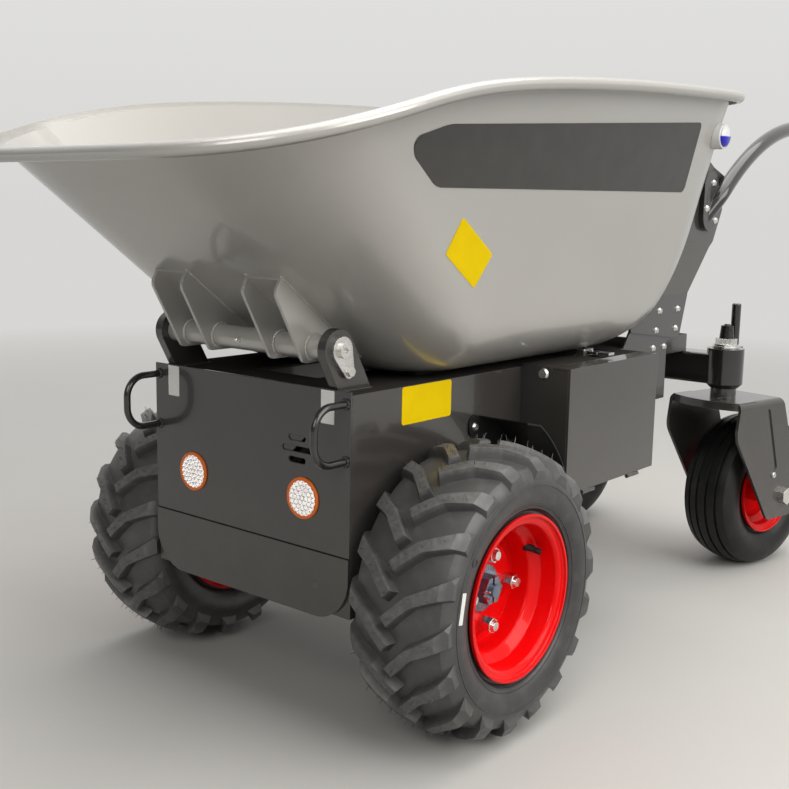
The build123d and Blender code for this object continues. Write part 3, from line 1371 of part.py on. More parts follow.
# Handles: bent tube on an obround flange, with grips; the right inner grip is the twist throttle
handle_y = mast_upper_y + handle_flange + handle_radius - handle_sink
grip_front = handle_rear + grip_length
for side, s in sides:
    with BuildPart() as handle:
        with BuildLine() as handle_path:
            FilletPolyline((handle_foot_x, mast_upper_y - 4, handle_foot_z),
                           (handle_heel_x, handle_y, handle_heel_z), (handle_knee_x, handle_y, handle_z),
                           (handle_rear + grip_wall, handle_y, handle_z),
                           radius=(handle_heel_bend, handle_bend))
        with BuildSketch(Plane(origin=handle_path.line @ 0, z_dir=handle_path.line % 0)):
            Circle(handle_radius)
            Circle(handle_radius - handle_wall, mode=Mode.SUBTRACT)
        sweep(path=handle_path.line)
        with BuildSketch(side_plane(mast_upper_y + handle_flange)):
            with Locations((handle_flange_x, handle_flange_z)):
                SlotOverall(handle_flange_length, handle_flange_width, rotation=90)
        extrude(amount=handle_flange)
        with BuildSketch(side_plane(mast_upper_y)):
            with Locations((handle_flange_x, handle_flange_z)):
                Rectangle(2 * handle_flange_length, 2 * handle_flange_length)
        extrude(amount=3 * handle_radius, mode=Mode.SUBTRACT)
        if s < 0:
            mirror(about=Plane.XZ, mode=Mode.REPLACE)
    handle.part.label = f"handle_{side}"
    export_step(handle.part, f"parts/handle_{side}.step")

grip_end = Plane(origin=(handle_rear, handle_y, handle_z), x_dir=(0, 1, 0), z_dir=(1, 0, 0))
throttle_end = Plane(origin=(grip_front - throttle_length, -handle_y, handle_z), x_dir=(0, 1, 0),
                     z_dir=(1, 0, 0))
far_end = Plane(origin=(handle_rear, -handle_y, handle_z), x_dir=(0, 1, 0), z_dir=(1, 0, 0))
with BuildPart() as grips:
    for end_plane, sleeve in ((grip_end, grip_length), (far_end, grip_length - throttle_length - 1)):
        with BuildSketch(end_plane):
            Circle(handle_radius + grip_wall)
        extrude(amount=sleeve)
        with BuildSketch(end_plane.offset(grip_wall)):
            Circle(handle_radius)
        extrude(amount=sleeve, mode=Mode.SUBTRACT)
grips.part.label = "grips"
export_step(grips.part, "parts/grips.step")

with BuildPart() as throttle_grip:
    with BuildSketch(throttle_end):
        Circle(handle_radius + grip_wall)
    extrude(amount=throttle_length)
    with BuildSketch(throttle_end.offset(throttle_length - 6)):
        Circle(handle_radius + grip_wall + 5)
    extrude(amount=6)
    with BuildSketch(throttle_end):
        Circle(handle_radius + running_gap)
    extrude(amount=throttle_length, mode=Mode.SUBTRACT)
throttle_grip.part.label = "throttle_grip"
export_step(throttle_grip.part, "parts/throttle_grip.step")

# Brake lever under the left grip, on a clamp round the tube
clamp_length = 22.0
lever_drop = 30.0
lever_pin_radius = 3.0
lever_width = 12.0
clamp_x = grip_front + 14
with BuildPart() as lever_clamp:
    with BuildSketch(Plane.YZ.offset(clamp_x - clamp_length / 2)):
        with Locations((handle_y, handle_z)):
            Circle(handle_radius + 6)
            Circle(handle_radius, mode=Mode.SUBTRACT)
        with Locations((handle_y - lever_width / 2 - 2.5, handle_z - lever_drop / 2 - 13),
                       (handle_y + lever_width / 2 + 2.5, handle_z - lever_drop / 2 - 13)):
            Rectangle(4, lever_drop - 4)
    extrude(amount=clamp_length)
    with Locations((clamp_x, handle_y, handle_z - lever_drop)):
        Cylinder(lever_pin_radius, lever_width + 9, rotation=(90, 0, 0))
lever_clamp.part.label = "lever_clamp"
export_step(lever_clamp.part, "parts/lever_clamp.step")

with BuildPart() as brake_lever:
    with BuildSketch(side_plane(handle_y + lever_width / 2)):
        with Locations((clamp_x, handle_z - lever_drop)):
            Circle(8)
        Polygon((clamp_x - 4, handle_z - lever_drop + 6), (clamp_x - 4, handle_z - lever_drop - 6),
                (clamp_x - 40, handle_z - lever_drop - 14), (handle_rear + 12, handle_z - lever_drop - 12),
                (handle_rear + 12, handle_z - lever_drop - 5), (clamp_x - 40, handle_z - lever_drop - 4))
        with Locations((clamp_x, handle_z - lever_drop)):
            Circle(lever_pin_radius + running_gap, mode=Mode.SUBTRACT)
    extrude(amount=lever_width)
brake_lever.part.label = "brake_lever"
export_step(brake_lever.part, "parts/brake_lever.step")

# Bolts of the frame: low domed heads on the mast feet, rails, boxes, mudguards and handle flanges
bolt_radius = 6.5
bolt_head = 3.6
bolt_draft = 32.0
mast_bolts = [(axle_x - 660, 537), (axle_x - 733, 537), (axle_x - 650, 502), (axle_x - 728, 501)]
rail_bolts = [(axle_x - 652, deck_z - 9), (axle_x - 695, deck_z - 9)]
flange_bolts = [(axle_x - 757, 768), (axle_x - 734, 722), (axle_x - 773, 701)]
box_bolt = (234.0, 471.0)
box_bolt_radius = 9.0
with BuildPart() as frame_bolts:
    for bolt_face, spots in ((mast_lower_y, mast_bolts), (chassis_half, rail_bolts),
                             (chassis_half + guard_sheet, [(guard_bolt_x, guard_bolt_z)]),
                             (mast_upper_y + handle_flange, flange_bolts)):
        with BuildSketch(side_plane(bolt_face)):
            with Locations(*spots):
                Circle(bolt_radius)
        extrude(amount=-bolt_head, taper=bolt_draft)
    with BuildSketch(Plane.YZ.offset(box_front)):
        with Locations(box_bolt):
            Circle(box_bolt_radius)
    extrude(amount=bolt_head, taper=bolt_draft)
    mirror(about=Plane.XZ)
frame_bolts.part.label = "frame_bolts"
export_step(frame_bolts.part, "parts/frame_bolts.step")
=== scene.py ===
import math
import random

import bmesh
import bpy
from mathutils import Matrix, Vector
from mathutils.bvhtree import BVHTree


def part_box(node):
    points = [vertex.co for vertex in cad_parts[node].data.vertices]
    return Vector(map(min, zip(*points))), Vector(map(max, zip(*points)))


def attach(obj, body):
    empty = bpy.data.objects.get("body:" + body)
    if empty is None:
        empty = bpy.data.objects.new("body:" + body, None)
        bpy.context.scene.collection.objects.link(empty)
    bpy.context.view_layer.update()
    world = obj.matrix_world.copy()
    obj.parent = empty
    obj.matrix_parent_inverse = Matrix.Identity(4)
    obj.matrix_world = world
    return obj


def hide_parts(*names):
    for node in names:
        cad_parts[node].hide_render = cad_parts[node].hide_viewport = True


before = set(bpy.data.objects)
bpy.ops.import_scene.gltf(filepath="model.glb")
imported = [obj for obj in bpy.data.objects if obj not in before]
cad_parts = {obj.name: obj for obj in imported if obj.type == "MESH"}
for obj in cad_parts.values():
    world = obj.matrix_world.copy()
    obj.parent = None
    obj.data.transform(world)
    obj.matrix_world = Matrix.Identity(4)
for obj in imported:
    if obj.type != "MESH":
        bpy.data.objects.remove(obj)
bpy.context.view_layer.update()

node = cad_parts
sides = (("left", 1), ("right", -1))

# Chassis: folded steel plate, welded into a box with two rails, powder-coated in glossy
# anthracite. The front covers, battery boxes, mast plates and caster forks share the coat.
coat_dark, coat_light, coat_dust = (0.040, 0.0360, 0.0335), (0.050, 0.0455, 0.0425), (0.17, 0.16, 0.145)
dust_heights = (0.10, 0.50)
upward_faces = (0.80, 0.95)
matt_rough = 0.75


def new_finish(name, rough=0.5, metal=0.0, coat=0.0, coat_rough=0.06, shine=0.5):
    """A material with its constant sockets set; returns it with its tree."""
    finish = bpy.data.materials.new(name)
    finish.use_nodes = True
    tree = finish.node_tree
    shader = tree.nodes["Principled BSDF"]
    shader.inputs["Roughness"].default_value = rough
    shader.inputs["Metallic"].default_value = metal
    shader.inputs["Coat Weight"].default_value = coat
    shader.inputs["Coat Roughness"].default_value = coat_rough
    shader.inputs["Specular IOR Level"].default_value = shine
    tree.nodes.new("ShaderNodeTexCoord").name = "Place"
    return finish, tree


def grain(tree, scale, detail=3.0, stretch=None):
    """Noise over the object's own coordinates, in metres; stretch squeezes it along an axis."""
    noise = tree.nodes.new("ShaderNodeTexNoise")
    noise.inputs["Scale"].default_value = scale
    noise.inputs["Detail"].default_value = detail
    source = tree.nodes["Place"].outputs["Object"]
    if stretch:
        turn = tree.nodes.new("ShaderNodeMapping")
        turn.inputs["Scale"].default_value = stretch
        tree.links.new(source, turn.inputs["Vector"])
        source = turn.outputs["Vector"]
    tree.links.new(source, noise.inputs["Vector"])
    return noise.outputs["Fac"]


def tones(tree, factor, *stops):
    """Colour ramp through (position, colour) stops."""
    ramp = tree.nodes.new("ShaderNodeValToRGB")
    ramp.color_ramp.elements[0].position = stops[0][0]
    ramp.color_ramp.elements[1].position = stops[-1][0]
    for place, _ in stops[1:-1]:
        ramp.color_ramp.elements.new(place)
    for element, (_, colour) in zip(ramp.color_ramp.elements, stops):
        element.color = (*colour, 1.0)
    tree.links.new(factor, ramp.inputs["Fac"])
    return ramp.outputs["Color"]


def level(tree, factor, low, high, start=0.3, end=0.7):
    """Maps a factor from start..end to low..high."""
    span = tree.nodes.new("ShaderNodeMapRange")
    span.inputs["From Min"].default_value = start
    span.inputs["From Max"].default_value = end
    span.inputs["To Min"].default_value = low
    span.inputs["To Max"].default_value = high
    tree.links.new(factor, span.inputs["Value"])
    return span.outputs["Result"]


def calc(tree, work, *values):
    """One step of arithmetic on sockets or numbers."""
    step = tree.nodes.new("ShaderNodeMath")
    step.operation = work
    for socket, value in zip(step.inputs, values):
        if isinstance(value, float):
            socket.default_value = value
        else:
            tree.links.new(value, socket)
    return step.outputs["Value"]


def blend_tones(tree, factor, first, second):
    """Mixes two colours, or colour sockets, by a factor."""
    mix = tree.nodes.new("ShaderNodeMix")
    mix.data_type = "RGBA"
    for socket, value in ((mix.inputs["A"], first), (mix.inputs["B"], second)):
        if isinstance(value, tuple):
            socket.default_value = (*value, 1.0)
        else:
            tree.links.new(value, socket)
    tree.links.new(factor, mix.inputs["Factor"])
    return mix.outputs["Result"]


def wire(tree, socket, name):
    """Links a socket to the shader's input of that name."""
    tree.links.new(socket, tree.nodes["Principled BSDF"].inputs[name])


def relief(tree, *layers, edge=None):
    """Bump from (height, strength, distance) layers, one over the other, over rounded edges."""
    last = edge
    for height, strength, distance in layers:
        bump = tree.nodes.new("ShaderNodeBump")
        bump.inputs["Strength"].default_value = strength
        bump.inputs["Distance"].default_value = distance
        tree.links.new(height, bump.inputs["Height"])
        if last:
            tree.links.new(last, bump.inputs["Normal"])
        last = bump.outputs["Normal"]
    wire(tree, last, "Normal")


def rounded_edge(tree, radius):
    """Normals turned over a cut edge, the way a thick coat or a deburring rounds it."""
    rounding = tree.nodes.new("ShaderNodeBevel")
    rounding.samples = 4
    rounding.inputs["Radius"].default_value = radius
    return rounding.outputs["Normal"]


def coordinate(tree, axis="Z"):
    """One coordinate of the object, in metres."""
    split = tree.nodes.new("ShaderNodeSeparateXYZ")
    tree.links.new(tree.nodes["Place"].outputs["Object"], split.inputs["Vector"])
    return split.outputs[axis]


def gloss_coat(name, dark, light, dust, flake=0.0, coat=0.6, rough=(0.25, 0.28), film=0.3, shine=0.5,
               edge=0.0016, dull_tops=False):
    """Sprayed gloss coat: soft patches, slight waves, rounded edges and a thin film of dust low down.

    Where dull_tops is set, the faces that look up are matt with settled dust.
    """
    finish, tree = new_finish(name, metal=flake, coat=coat, shine=shine)
    patches = tones(tree, grain(tree, 4.0, 2.0), (0.12, dark), (0.88, light))
    low = level(tree, coordinate(tree), film, 0.0, *dust_heights)
    haze = calc(tree, "MULTIPLY", low, level(tree, grain(tree, 14.0, 6.0), 0.0, 0.5, 0.42, 0.78))
    wire(tree, blend_tones(tree, haze, patches, dust), "Base Color")
    smooth = level(tree, grain(tree, 6.0, 1.0), *rough, 0.1, 0.9)
    if dull_tops:
        facing = tree.nodes.new("ShaderNodeSeparateXYZ")
        tree.links.new(tree.nodes["Place"].outputs["Normal"], facing.inputs["Vector"])
        gloss = level(tree, facing.outputs["Z"], 1.0, 0.0, *upward_faces)
        wire(tree, calc(tree, "MULTIPLY", gloss, coat), "Coat Weight")
        wire(tree, calc(tree, "MULTIPLY", gloss, shine), "Specular IOR Level")
        smooth = calc(tree, "MAXIMUM", smooth, level(tree, gloss, matt_rough, 0.0, 0.0, 1.0))
    wire(tree, smooth, "Roughness")
    rounding = rounded_edge(tree, edge) if edge else None
    if rounding:
        wire(tree, rounding, "Coat Normal")
    relief(tree, (grain(tree, 7.0, 1.0), 0.02, 0.004), edge=rounding)
    return finish


def dress(finish, *names):
    """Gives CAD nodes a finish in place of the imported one."""
    for name in names:
        node[name].data.materials.clear()
        node[name].data.materials.append(finish)


anthracite = gloss_coat("anthracite_coat", coat_dark, coat_light, coat_dust)
dress(anthracite, "front_plate", "lower_plate", "box_door_left", "box_door_right", "mast_plate_left",
      "mast_plate_right", "console", "caster_fork_left", "caster_fork_right")
frame_coat = gloss_coat("frame_coat", coat_dark, coat_light, coat_dust, dull_tops=True)
dress(frame_coat, "chassis_frame", "battery_box_left", "battery_box_right")

# Rear beam, handles, tie loops, swivel locks and ram barrel: square tube and bent tube in a deeper black
# gloss coat. The mudguards are thin sheet in matt black, with a base darker still as painted shade for the
# shadow they sit in.
black_coat = gloss_coat("black_coat", (0.0105, 0.0098, 0.0095), (0.017, 0.016, 0.0155),
                        (0.16, 0.15, 0.14), coat=0.7, rough=(0.18, 0.21))
dress(black_coat, "rear_beam", "handle_left", "handle_right", "tie_loops",
      "swivel_lock_left", "swivel_lock_right", "ram_barrel")
# Mudguard base darker than the black coat: painted shade.
guard_coat_painted_shade = gloss_coat("guard_coat_painted_shade", (0.006, 0.0056, 0.0054), (0.010, 0.0094, 0.0090),
                        (0.05, 0.047, 0.044), coat=0.0, rough=(0.42, 0.50), shine=0.2)
dress(guard_coat_painted_shade, "mudguards")

# Skip: one deep pressing in silver-grey metallic paint under a clear coat, with the hinge
# channels and the pivot tube welded on and sprayed with it.
silver_tones = (0.490, 0.478, 0.453), (0.530, 0.518, 0.492), (0.40, 0.38, 0.35)
silver_flake, silver_rough = 0.32, (0.31, 0.34)
shell_paint = gloss_coat("skip_silver_paint", *silver_tones, flake=silver_flake, rough=silver_rough,
                         film=0.0, edge=None)
dress(shell_paint, "skip_shell")
skip_paint = gloss_coat("bracket_silver_paint", *silver_tones, flake=silver_flake, rough=silver_rough,
                        film=0.0)
dress(skip_paint, "skip_brackets", "pivot_tube")

# Rims: rolled steel in bright red gloss, on the drive wheels and on the casters, too clean for a
# film of dust.
rim_red = gloss_coat("rim_red_coat", (0.88, 0.0030, 0.004), (0.94, 0.004, 0.006), (0.36, 0.06, 0.05),
                     coat=0.30, film=0.0, shine=0.08)
dress(rim_red, "wheel_rim_left", "wheel_rim_right", "caster_rim_left", "caster_rim_right")

# Tyres: moulded satin rubber with a fine grain and a little dust. On the drive tyres the tread's crown is
# lighter as painted sheen, and the faces of the lugs lighter still, partly scuffs and partly painted sheen.
# The tread's crown falls away towards its shoulders.
axle = Vector((0.428, 0.0, 0.203))
wheel_offset = 0.278
crown_fall = 2.7
crown_sheen_step, lug_step = (0.1680, 0.1840), (0.1950, 0.2000)
crown_painted_sheen, lug_scuff_and_sheen = 0.22, 0.36


def from_axle(tree):
    """Distance from the drive axle's line, in metres."""
    turn = tree.nodes.new("ShaderNodeMapping")
    turn.inputs["Location"].default_value = (-axle.x, 0.0, -axle.z)
    turn.inputs["Scale"].default_value = (1.0, 0.0, 1.0)
    tree.links.new(tree.nodes["Place"].outputs["Object"], turn.inputs["Vector"])
    length = tree.nodes.new("ShaderNodeVectorMath")
    length.operation = "LENGTH"
    tree.links.new(turn.outputs["Vector"], length.inputs[0])
    return length.outputs["Value"]


def moulded_rubber(name, dark, light, dust, lugs=False, shine=0.3, sheen=0.0):
    """Satin rubber with a faint film of dust; with lugs, the tread's crown is lighter as painted sheen and
    the lug faces lighter still, partly scuffs and partly painted sheen.
    """
    finish, tree = new_finish(name, coat=sheen, coat_rough=0.32, shine=shine)
    film = level(tree, grain(tree, 55.0, 6.0), 0.0, 0.16, 0.5, 0.8)
    if lugs:
        aside = calc(tree, "SUBTRACT", calc(tree, "ABSOLUTE", coordinate(tree, "Y")), wheel_offset)
        fall = calc(tree, "MULTIPLY", calc(tree, "MULTIPLY", aside, aside), crown_fall)
        height = calc(tree, "ADD", from_axle(tree), fall)
        # Lug faces: scuffs, lifted further as painted sheen.
        top = level(tree, height, 0.0, lug_scuff_and_sheen, *lug_step)
        scuff = level(tree, grain(tree, 120.0, 5.0), 0.35, 1.0, 0.38, 0.66)
        film = calc(tree, "ADD", film, calc(tree, "MULTIPLY", top, scuff))
        # Tread crown: painted sheen, lighter rubber standing in for the light's sheen on the tread.
        film = calc(tree, "ADD", film, level(tree, height, 0.0, crown_painted_sheen, *crown_sheen_step))
    base = tones(tree, grain(tree, 20.0, 4.0), (0.32, dark), (0.7, light))
    wire(tree, blend_tones(tree, film, base, dust), "Base Color")
    wire(tree, level(tree, grain(tree, 80.0, 4.0), 0.34, 0.48), "Roughness")
    relief(tree, (grain(tree, 900.0, 3.0), 0.08, 0.0005), (grain(tree, 130.0, 3.0), 0.06, 0.001),
           edge=rounded_edge(tree, 0.0016))
    return finish


tyre_rubber = moulded_rubber("tyre_rubber", (0.025, 0.0244, 0.025), (0.037, 0.0362, 0.037),
                             (0.22, 0.215, 0.21), lugs=True, shine=0.6, sheen=0.1)
dress(tyre_rubber, "tyre_left", "tyre_right")
# The caster tyres' rubber is a darker copy of the drive tyres' rubber: painted shade for the shade of the
# forks and chassis over them.
caster_rubber_painted_shade = moulded_rubber("caster_rubber_painted_shade", (0.009, 0.009, 0.009), (0.014, 0.0138, 0.014),
                               (0.06, 0.06, 0.057))
dress(caster_rubber_painted_shade, "caster_tyre_left", "caster_tyre_right")
grip_rubber = moulded_rubber("grip_rubber", (0.011, 0.011, 0.011), (0.019, 0.019, 0.019),
                             (0.05, 0.05, 0.05))
dress(grip_rubber, "grips", "throttle_grip", "skip_pads")


# Fixings and running gear: zinc-plated bolts, keepers and latch bases, bright wheel nuts, turned
# pins, blued hubs, hard-chromed ram rod and latches, cast housings.
def plated(name, dark, light, rough=(0.24, 0.32), lay=(1.0, 1.0, 8.0)):
    """Bare or plated metal with a fine lay of tool marks along one axis."""
    finish, tree = new_finish(name, metal=1.0)
    wire(tree, tones(tree, grain(tree, 55.0, 5.0), (0.3, dark), (0.72, light)), "Base Color")
    brushed = grain(tree, 240.0, 3.0, lay)
    wire(tree, level(tree, brushed, *rough), "Roughness")
    relief(tree, (brushed, 0.08, 0.0004), edge=rounded_edge(tree, 0.0006))
    return finish


turned_lay = (1.0, 8.0, 1.0)
zinc = plated("zinc_plate", (0.62, 0.61, 0.59), (0.77, 0.76, 0.73))
dress(zinc, "pivot_keepers", "frame_bolts", "latch_bases", "key")
turned_steel = plated("turned_steel", (0.34, 0.35, 0.37), (0.56, 0.57, 0.60), lay=turned_lay)
dress(turned_steel, "pivot_pins")
hub_steel = plated("blued_steel", (0.15, 0.20, 0.26), (0.30, 0.36, 0.43), lay=turned_lay)
dress(hub_steel, "wheel_hub_left", "wheel_hub_right")
nut_plate = plated("nut_plate", (0.62, 0.61, 0.58), (0.84, 0.83, 0.80), rough=(0.14, 0.28))
dress(nut_plate, "wheel_nuts_left", "wheel_nuts_right")
rod_chrome = plated("rod_chrome", (0.74, 0.74, 0.75), (0.86, 0.86, 0.87), rough=(0.06, 0.14))
dress(rod_chrome, "ram_rod", "door_latch_left", "door_latch_right")
cast_metal = plated("cast_aluminium", (0.36, 0.37, 0.38), (0.52, 0.53, 0.54), rough=(0.45, 0.62))
dress(cast_metal, "drive_unit", "motor_controller", "lever_clamp", "brake_lever")

# Caster fixings: bright washers, swivel nut and axle bolt, and a black plastic cap with a nub
# pressed over the end of the swivel stem.
cap_height, cap_blend = 0.028, 0.0002
cap_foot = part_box("caster_fixings_left")[1].z - cap_height
capped_zinc, cap_tree = new_finish("capped_zinc")
bare = level(cap_tree, coordinate(cap_tree), 1.0, 0.0, cap_foot, cap_foot + cap_blend)
wire(cap_tree, bare, "Metallic")
bright = tones(cap_tree, grain(cap_tree, 60.0, 4.0),
               (0.3, (0.60, 0.59, 0.56)), (0.72, (0.84, 0.83, 0.80)))
dull = tones(cap_tree, grain(cap_tree, 40.0, 4.0),
             (0.3, (0.008, 0.008, 0.008)), (0.7, (0.014, 0.014, 0.014)))
wire(cap_tree, blend_tones(cap_tree, bare, dull, bright), "Base Color")
wire(cap_tree, level(cap_tree, grain(cap_tree, 220.0, 3.0), 0.18, 0.34), "Roughness")
relief(cap_tree, (grain(cap_tree, 300.0, 3.0), 0.05, 0.0004), edge=rounded_edge(cap_tree, 0.0008))
dress(capped_zinc, "caster_fixings_left", "caster_fixings_right")


# Moulded plastics: lamp rings, lamp lenses, battery cases, switches, emergency stop and the
# slope gauge's housing.
def moulded_plastic(name, dark, light, rough=(0.28, 0.42), painted_glow=0.0):
    """Smooth moulding with a fine grain; where a glow is given, the front glows a little in its own colour,
    a painted highlight for the brightness an unlit lamp's front shows from reflected light.
    """
    finish, tree = new_finish(name)
    colour = tones(tree, grain(tree, 40.0, 4.0), (0.3, dark), (0.7, light))
    wire(tree, colour, "Base Color")
    if painted_glow:
        wire(tree, colour, "Emission Color")
        tree.nodes["Principled BSDF"].inputs["Emission Strength"].default_value = painted_glow
    wire(tree, level(tree, grain(tree, 140.0, 3.0), *rough), "Roughness")
    relief(tree, (grain(tree, 700.0, 2.0), 0.06, 0.0004), edge=rounded_edge(tree, 0.0006))
    return finish


lamp_orange = moulded_plastic("lamp_orange", (0.92, 0.165, 0.010), (0.97, 0.21, 0.016))
dress(lamp_orange, "lamp_bezels")
# The lamps are off: the lens's glow is a painted highlight for the bright look of its front.
lamp_clear = moulded_plastic("lamp_clear", (0.93, 0.91, 0.90), (0.97, 0.96, 0.95),
                             rough=(0.06, 0.14), painted_glow=0.60)
dress(lamp_clear, "lamp_lenses")
case_black = moulded_plastic("case_black", (0.018, 0.018, 0.019), (0.034, 0.034, 0.035),
                             rough=(0.4, 0.6))
dress(case_black, "batteries", "direction_switch", "tip_switch")
stop_red = moulded_plastic("stop_red", (0.52, 0.012, 0.012), (0.60, 0.018, 0.016))
dress(stop_red, "emergency_stop")
gauge_white = moulded_plastic("gauge_white", (0.78, 0.78, 0.77), (0.86, 0.86, 0.85), rough=(0.15, 0.25))
dress(gauge_white, "slope_gauge")

# Front lamps: round work lights with rings of small diodes, each in its own bright cup on the
# clear front, standing in the orange rings that clip them into the front plate.
lens_low, lens_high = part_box("lamp_lenses")
lens_radius = (lens_high.z - lens_low.z) / 2
lamp_middle = Vector((lens_high.x, lens_high.y - lens_radius, lens_high.z - lens_radius))
diode_rows = ((0.0, 1), (0.29, 6), (0.57, 12), (0.84, 18))
diode_profile = ((0.0, 0.0023), (0.0008, 0.0021), (0.0014, 0.0012), (0.0016, 0.0))
cup_profile = ((0.0, 0.0038), (0.0012, 0.0037), (0.0012, 0.0033), (0.0001, 0.0024))
crease_angle = math.radians(38)
weld_distance = 1e-6


def piece(name, mesh, finish, body, smooth=True):
    """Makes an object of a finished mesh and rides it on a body."""
    data = bpy.data.meshes.new(name)
    bmesh.ops.recalc_face_normals(mesh, faces=mesh.faces)
    mesh.to_mesh(data)
    mesh.free()
    for face in data.polygons:
        face.use_smooth = smooth
    if smooth:
        data.set_sharp_from_angle(angle=crease_angle)
    made = bpy.data.objects.new(name, data)
    bpy.context.scene.collection.objects.link(made)
    data.materials.append(finish)
    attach(made, body)
    return made


def lathe(mesh, profile, centre, axis, steps=32):
    """Spins a profile of (along, radius) points round an axis through centre."""
    axis = Vector(axis).normalized()
    side = axis.orthogonal().normalized()
    rim = [mesh.verts.new(Vector(centre) + axis * along + side * radius) for along, radius in profile]
    line = [mesh.edges.new(pair) for pair in zip(rim, rim[1:])]
    bmesh.ops.spin(mesh, geom=rim + line, cent=centre, axis=axis, angle=math.tau, steps=steps,
                   use_merge=True)
    bmesh.ops.remove_doubles(mesh, verts=mesh.verts, dist=weld_distance)


diode_mesh = bmesh.new()
cup_mesh = bmesh.new()
for _, s in sides:
    for share, count in diode_rows:
        for index in range(count):
            angle = math.tau * index / count
            across = Vector((0, math.cos(angle), math.sin(angle))) * share * lens_radius
            spot = Vector((lamp_middle.x, s * lamp_middle.y, lamp_middle.z)) + across
            lathe(diode_mesh, diode_profile, spot, (1, 0, 0), 10)
            lathe(cup_mesh, cup_profile, spot, (1, 0, 0), 12)
# The diodes' glow is a painted highlight as well, though the lamps are off.
diode_finish = moulded_plastic("diode_front", (0.80, 0.73, 0.71), (0.97, 0.95, 0.93),
                               rough=(0.08, 0.16), painted_glow=0.55)
piece("lamp_diodes", diode_mesh, diode_finish, "chassis")
cup_finish = plated("diode_cups", (0.84, 0.82, 0.81), (0.93, 0.92, 0.91), rough=(0.08, 0.2))
piece("lamp_cells", cup_mesh, cup_finish, "chassis")

# Plain plates: thin printed-stock rectangles stuck on the front plate and the left rail, left
# bare, with small rounded corners.
front_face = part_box("front_plate")[1].x
tag_low, tag_high = 0.4365, 0.4805
tag_edges = (("left", 0.1425, 0.1658), ("right", -0.1649, -0.1412))
tag_lift, tag_round = 0.0004, 0.001
rail_face = 0.194
plate_rear, plate_front, plate_low, plate_high = 0.389, 0.498, 0.4255, 0.4772
plate_lift, plate_round = 0.0005, 0.004


def raise_faces(mesh, shift):
    """Extrudes all faces of a flat mesh by a shift, so that it becomes a thin closed plate."""
    grown = bmesh.ops.extrude_face_region(mesh, geom=mesh.faces[:])
    raised = [v for v in grown["geom"] if isinstance(v, bmesh.types.BMVert)]
    bmesh.ops.translate(mesh, vec=shift, verts=raised)


def thin_plate(name, corners, lift, finish, round_by):
    """Plate on four corners given in order, standing lift proud of the chassis face they lie in."""
    mesh = bmesh.new()
    face = mesh.faces.new([mesh.verts.new(corner) for corner in corners])
    mesh.normal_update()
    outward = face.normal.copy()
    bmesh.ops.bevel(mesh, geom=mesh.verts, offset=round_by, offset_type="OFFSET", affect="VERTICES",
                    segments=5, profile=0.5, material=-1)
    raise_faces(mesh, outward * lift)
    piece(name, mesh, finish, "chassis", smooth=False)


def plain_foil(name, dark, light, rough, shine=0.4):
    """Printed film: even colour with faint fibre and a soft satin surface."""
    finish, tree = new_finish(name, shine=shine)
    wire(tree, tones(tree, grain(tree, 30.0, 4.0), (0.3, dark), (0.7, light)), "Base Color")
    wire(tree, level(tree, grain(tree, 18.0, 3.0), *rough), "Roughness")
    relief(tree, (grain(tree, 320.0, 3.0), 0.03, 0.0003))
    return finish


white_foil = plain_foil("white_foil", (0.93, 0.93, 0.91), (0.97, 0.97, 0.95), (0.32, 0.42))
for side, near, far in tag_edges:
    tag_corners = [(front_face, y, z) for y, z in ((near, tag_low), (far, tag_low),
                                                   (far, tag_high), (near, tag_high))]
    thin_plate(f"plain_tag_{side}", tag_corners, tag_lift, white_foil, tag_round)
yellow_foil = plain_foil("yellow_foil", (0.92, 0.635, 0.002), (0.97, 0.690, 0.003), (0.34, 0.44), 0.05)
plate_corners = [(x, rail_face, z) for x, z in ((plate_rear, plate_low), (plate_rear, plate_high),
                                                (plate_front, plate_high), (plate_front, plate_low))]
thin_plate("plain_plate_rail", plate_corners, plate_lift, yellow_foil, plate_round)

# Flank band and square on the skip: cut film laid on the painted wall, plain dark and plain
# yellow, following the wall's lean and its rounding at the rear corner.
probe_from = 0.5
film_lift, film_seat = 0.0004, 0.0002
band_outline = ((0.566, 0.8110), (0.626, 0.7930), (0.626, 0.7740),
                (0.571, 0.7376), (-0.085, 0.7465), (-0.090, 0.8570))
square_outline = ((0.505, 0.7032), (0.425, 0.6555), (0.4512, 0.6115), (0.5272, 0.6575))


def surface_of(name):
    """Search tree of a node's surface."""
    data = node[name].data
    return BVHTree.FromPolygons([v.co for v in data.vertices], [p.vertices for p in data.polygons])


def lay_film(name, wall, outline, finish, body, round_by, step=0.02):
    """Film cut to an outline of (x, z) corners, diced and pressed on a wall that faces left."""
    mesh = bmesh.new()
    mesh.faces.new([mesh.verts.new((x, probe_from, z)) for x, z in outline])
    bmesh.ops.bevel(mesh, geom=mesh.verts, offset=round_by, offset_type="OFFSET", affect="VERTICES",
                    segments=6, profile=0.5, material=-1)
    for axis in (0, 2):
        places = [v.co[axis] for v in mesh.verts]
        way = Vector((axis == 0, 0, axis == 2))
        cut = min(places) + step
        while cut < max(places):
            bmesh.ops.bisect_plane(mesh, geom=mesh.verts[:] + mesh.edges[:] + mesh.faces[:],
                                   plane_co=way * cut, plane_no=way)
            cut += step
    for vert in mesh.verts:
        hit, normal, _, _ = wall.ray_cast(vert.co, Vector((0, -1, 0)))
        vert.co = hit + normal * film_seat
    raise_faces(mesh, (0, film_lift, 0))
    piece(name, mesh, finish, body)


skip_wall = surface_of("skip_shell")
band_foil = plain_foil("band_foil", (0.052, 0.048, 0.046), (0.060, 0.056, 0.053), (0.20, 0.26))
lay_film("flank_band", skip_wall, band_outline, band_foil, "skip", 0.010)
lay_film("flank_square", skip_wall, square_outline, yellow_foil, "skip", 0.004)

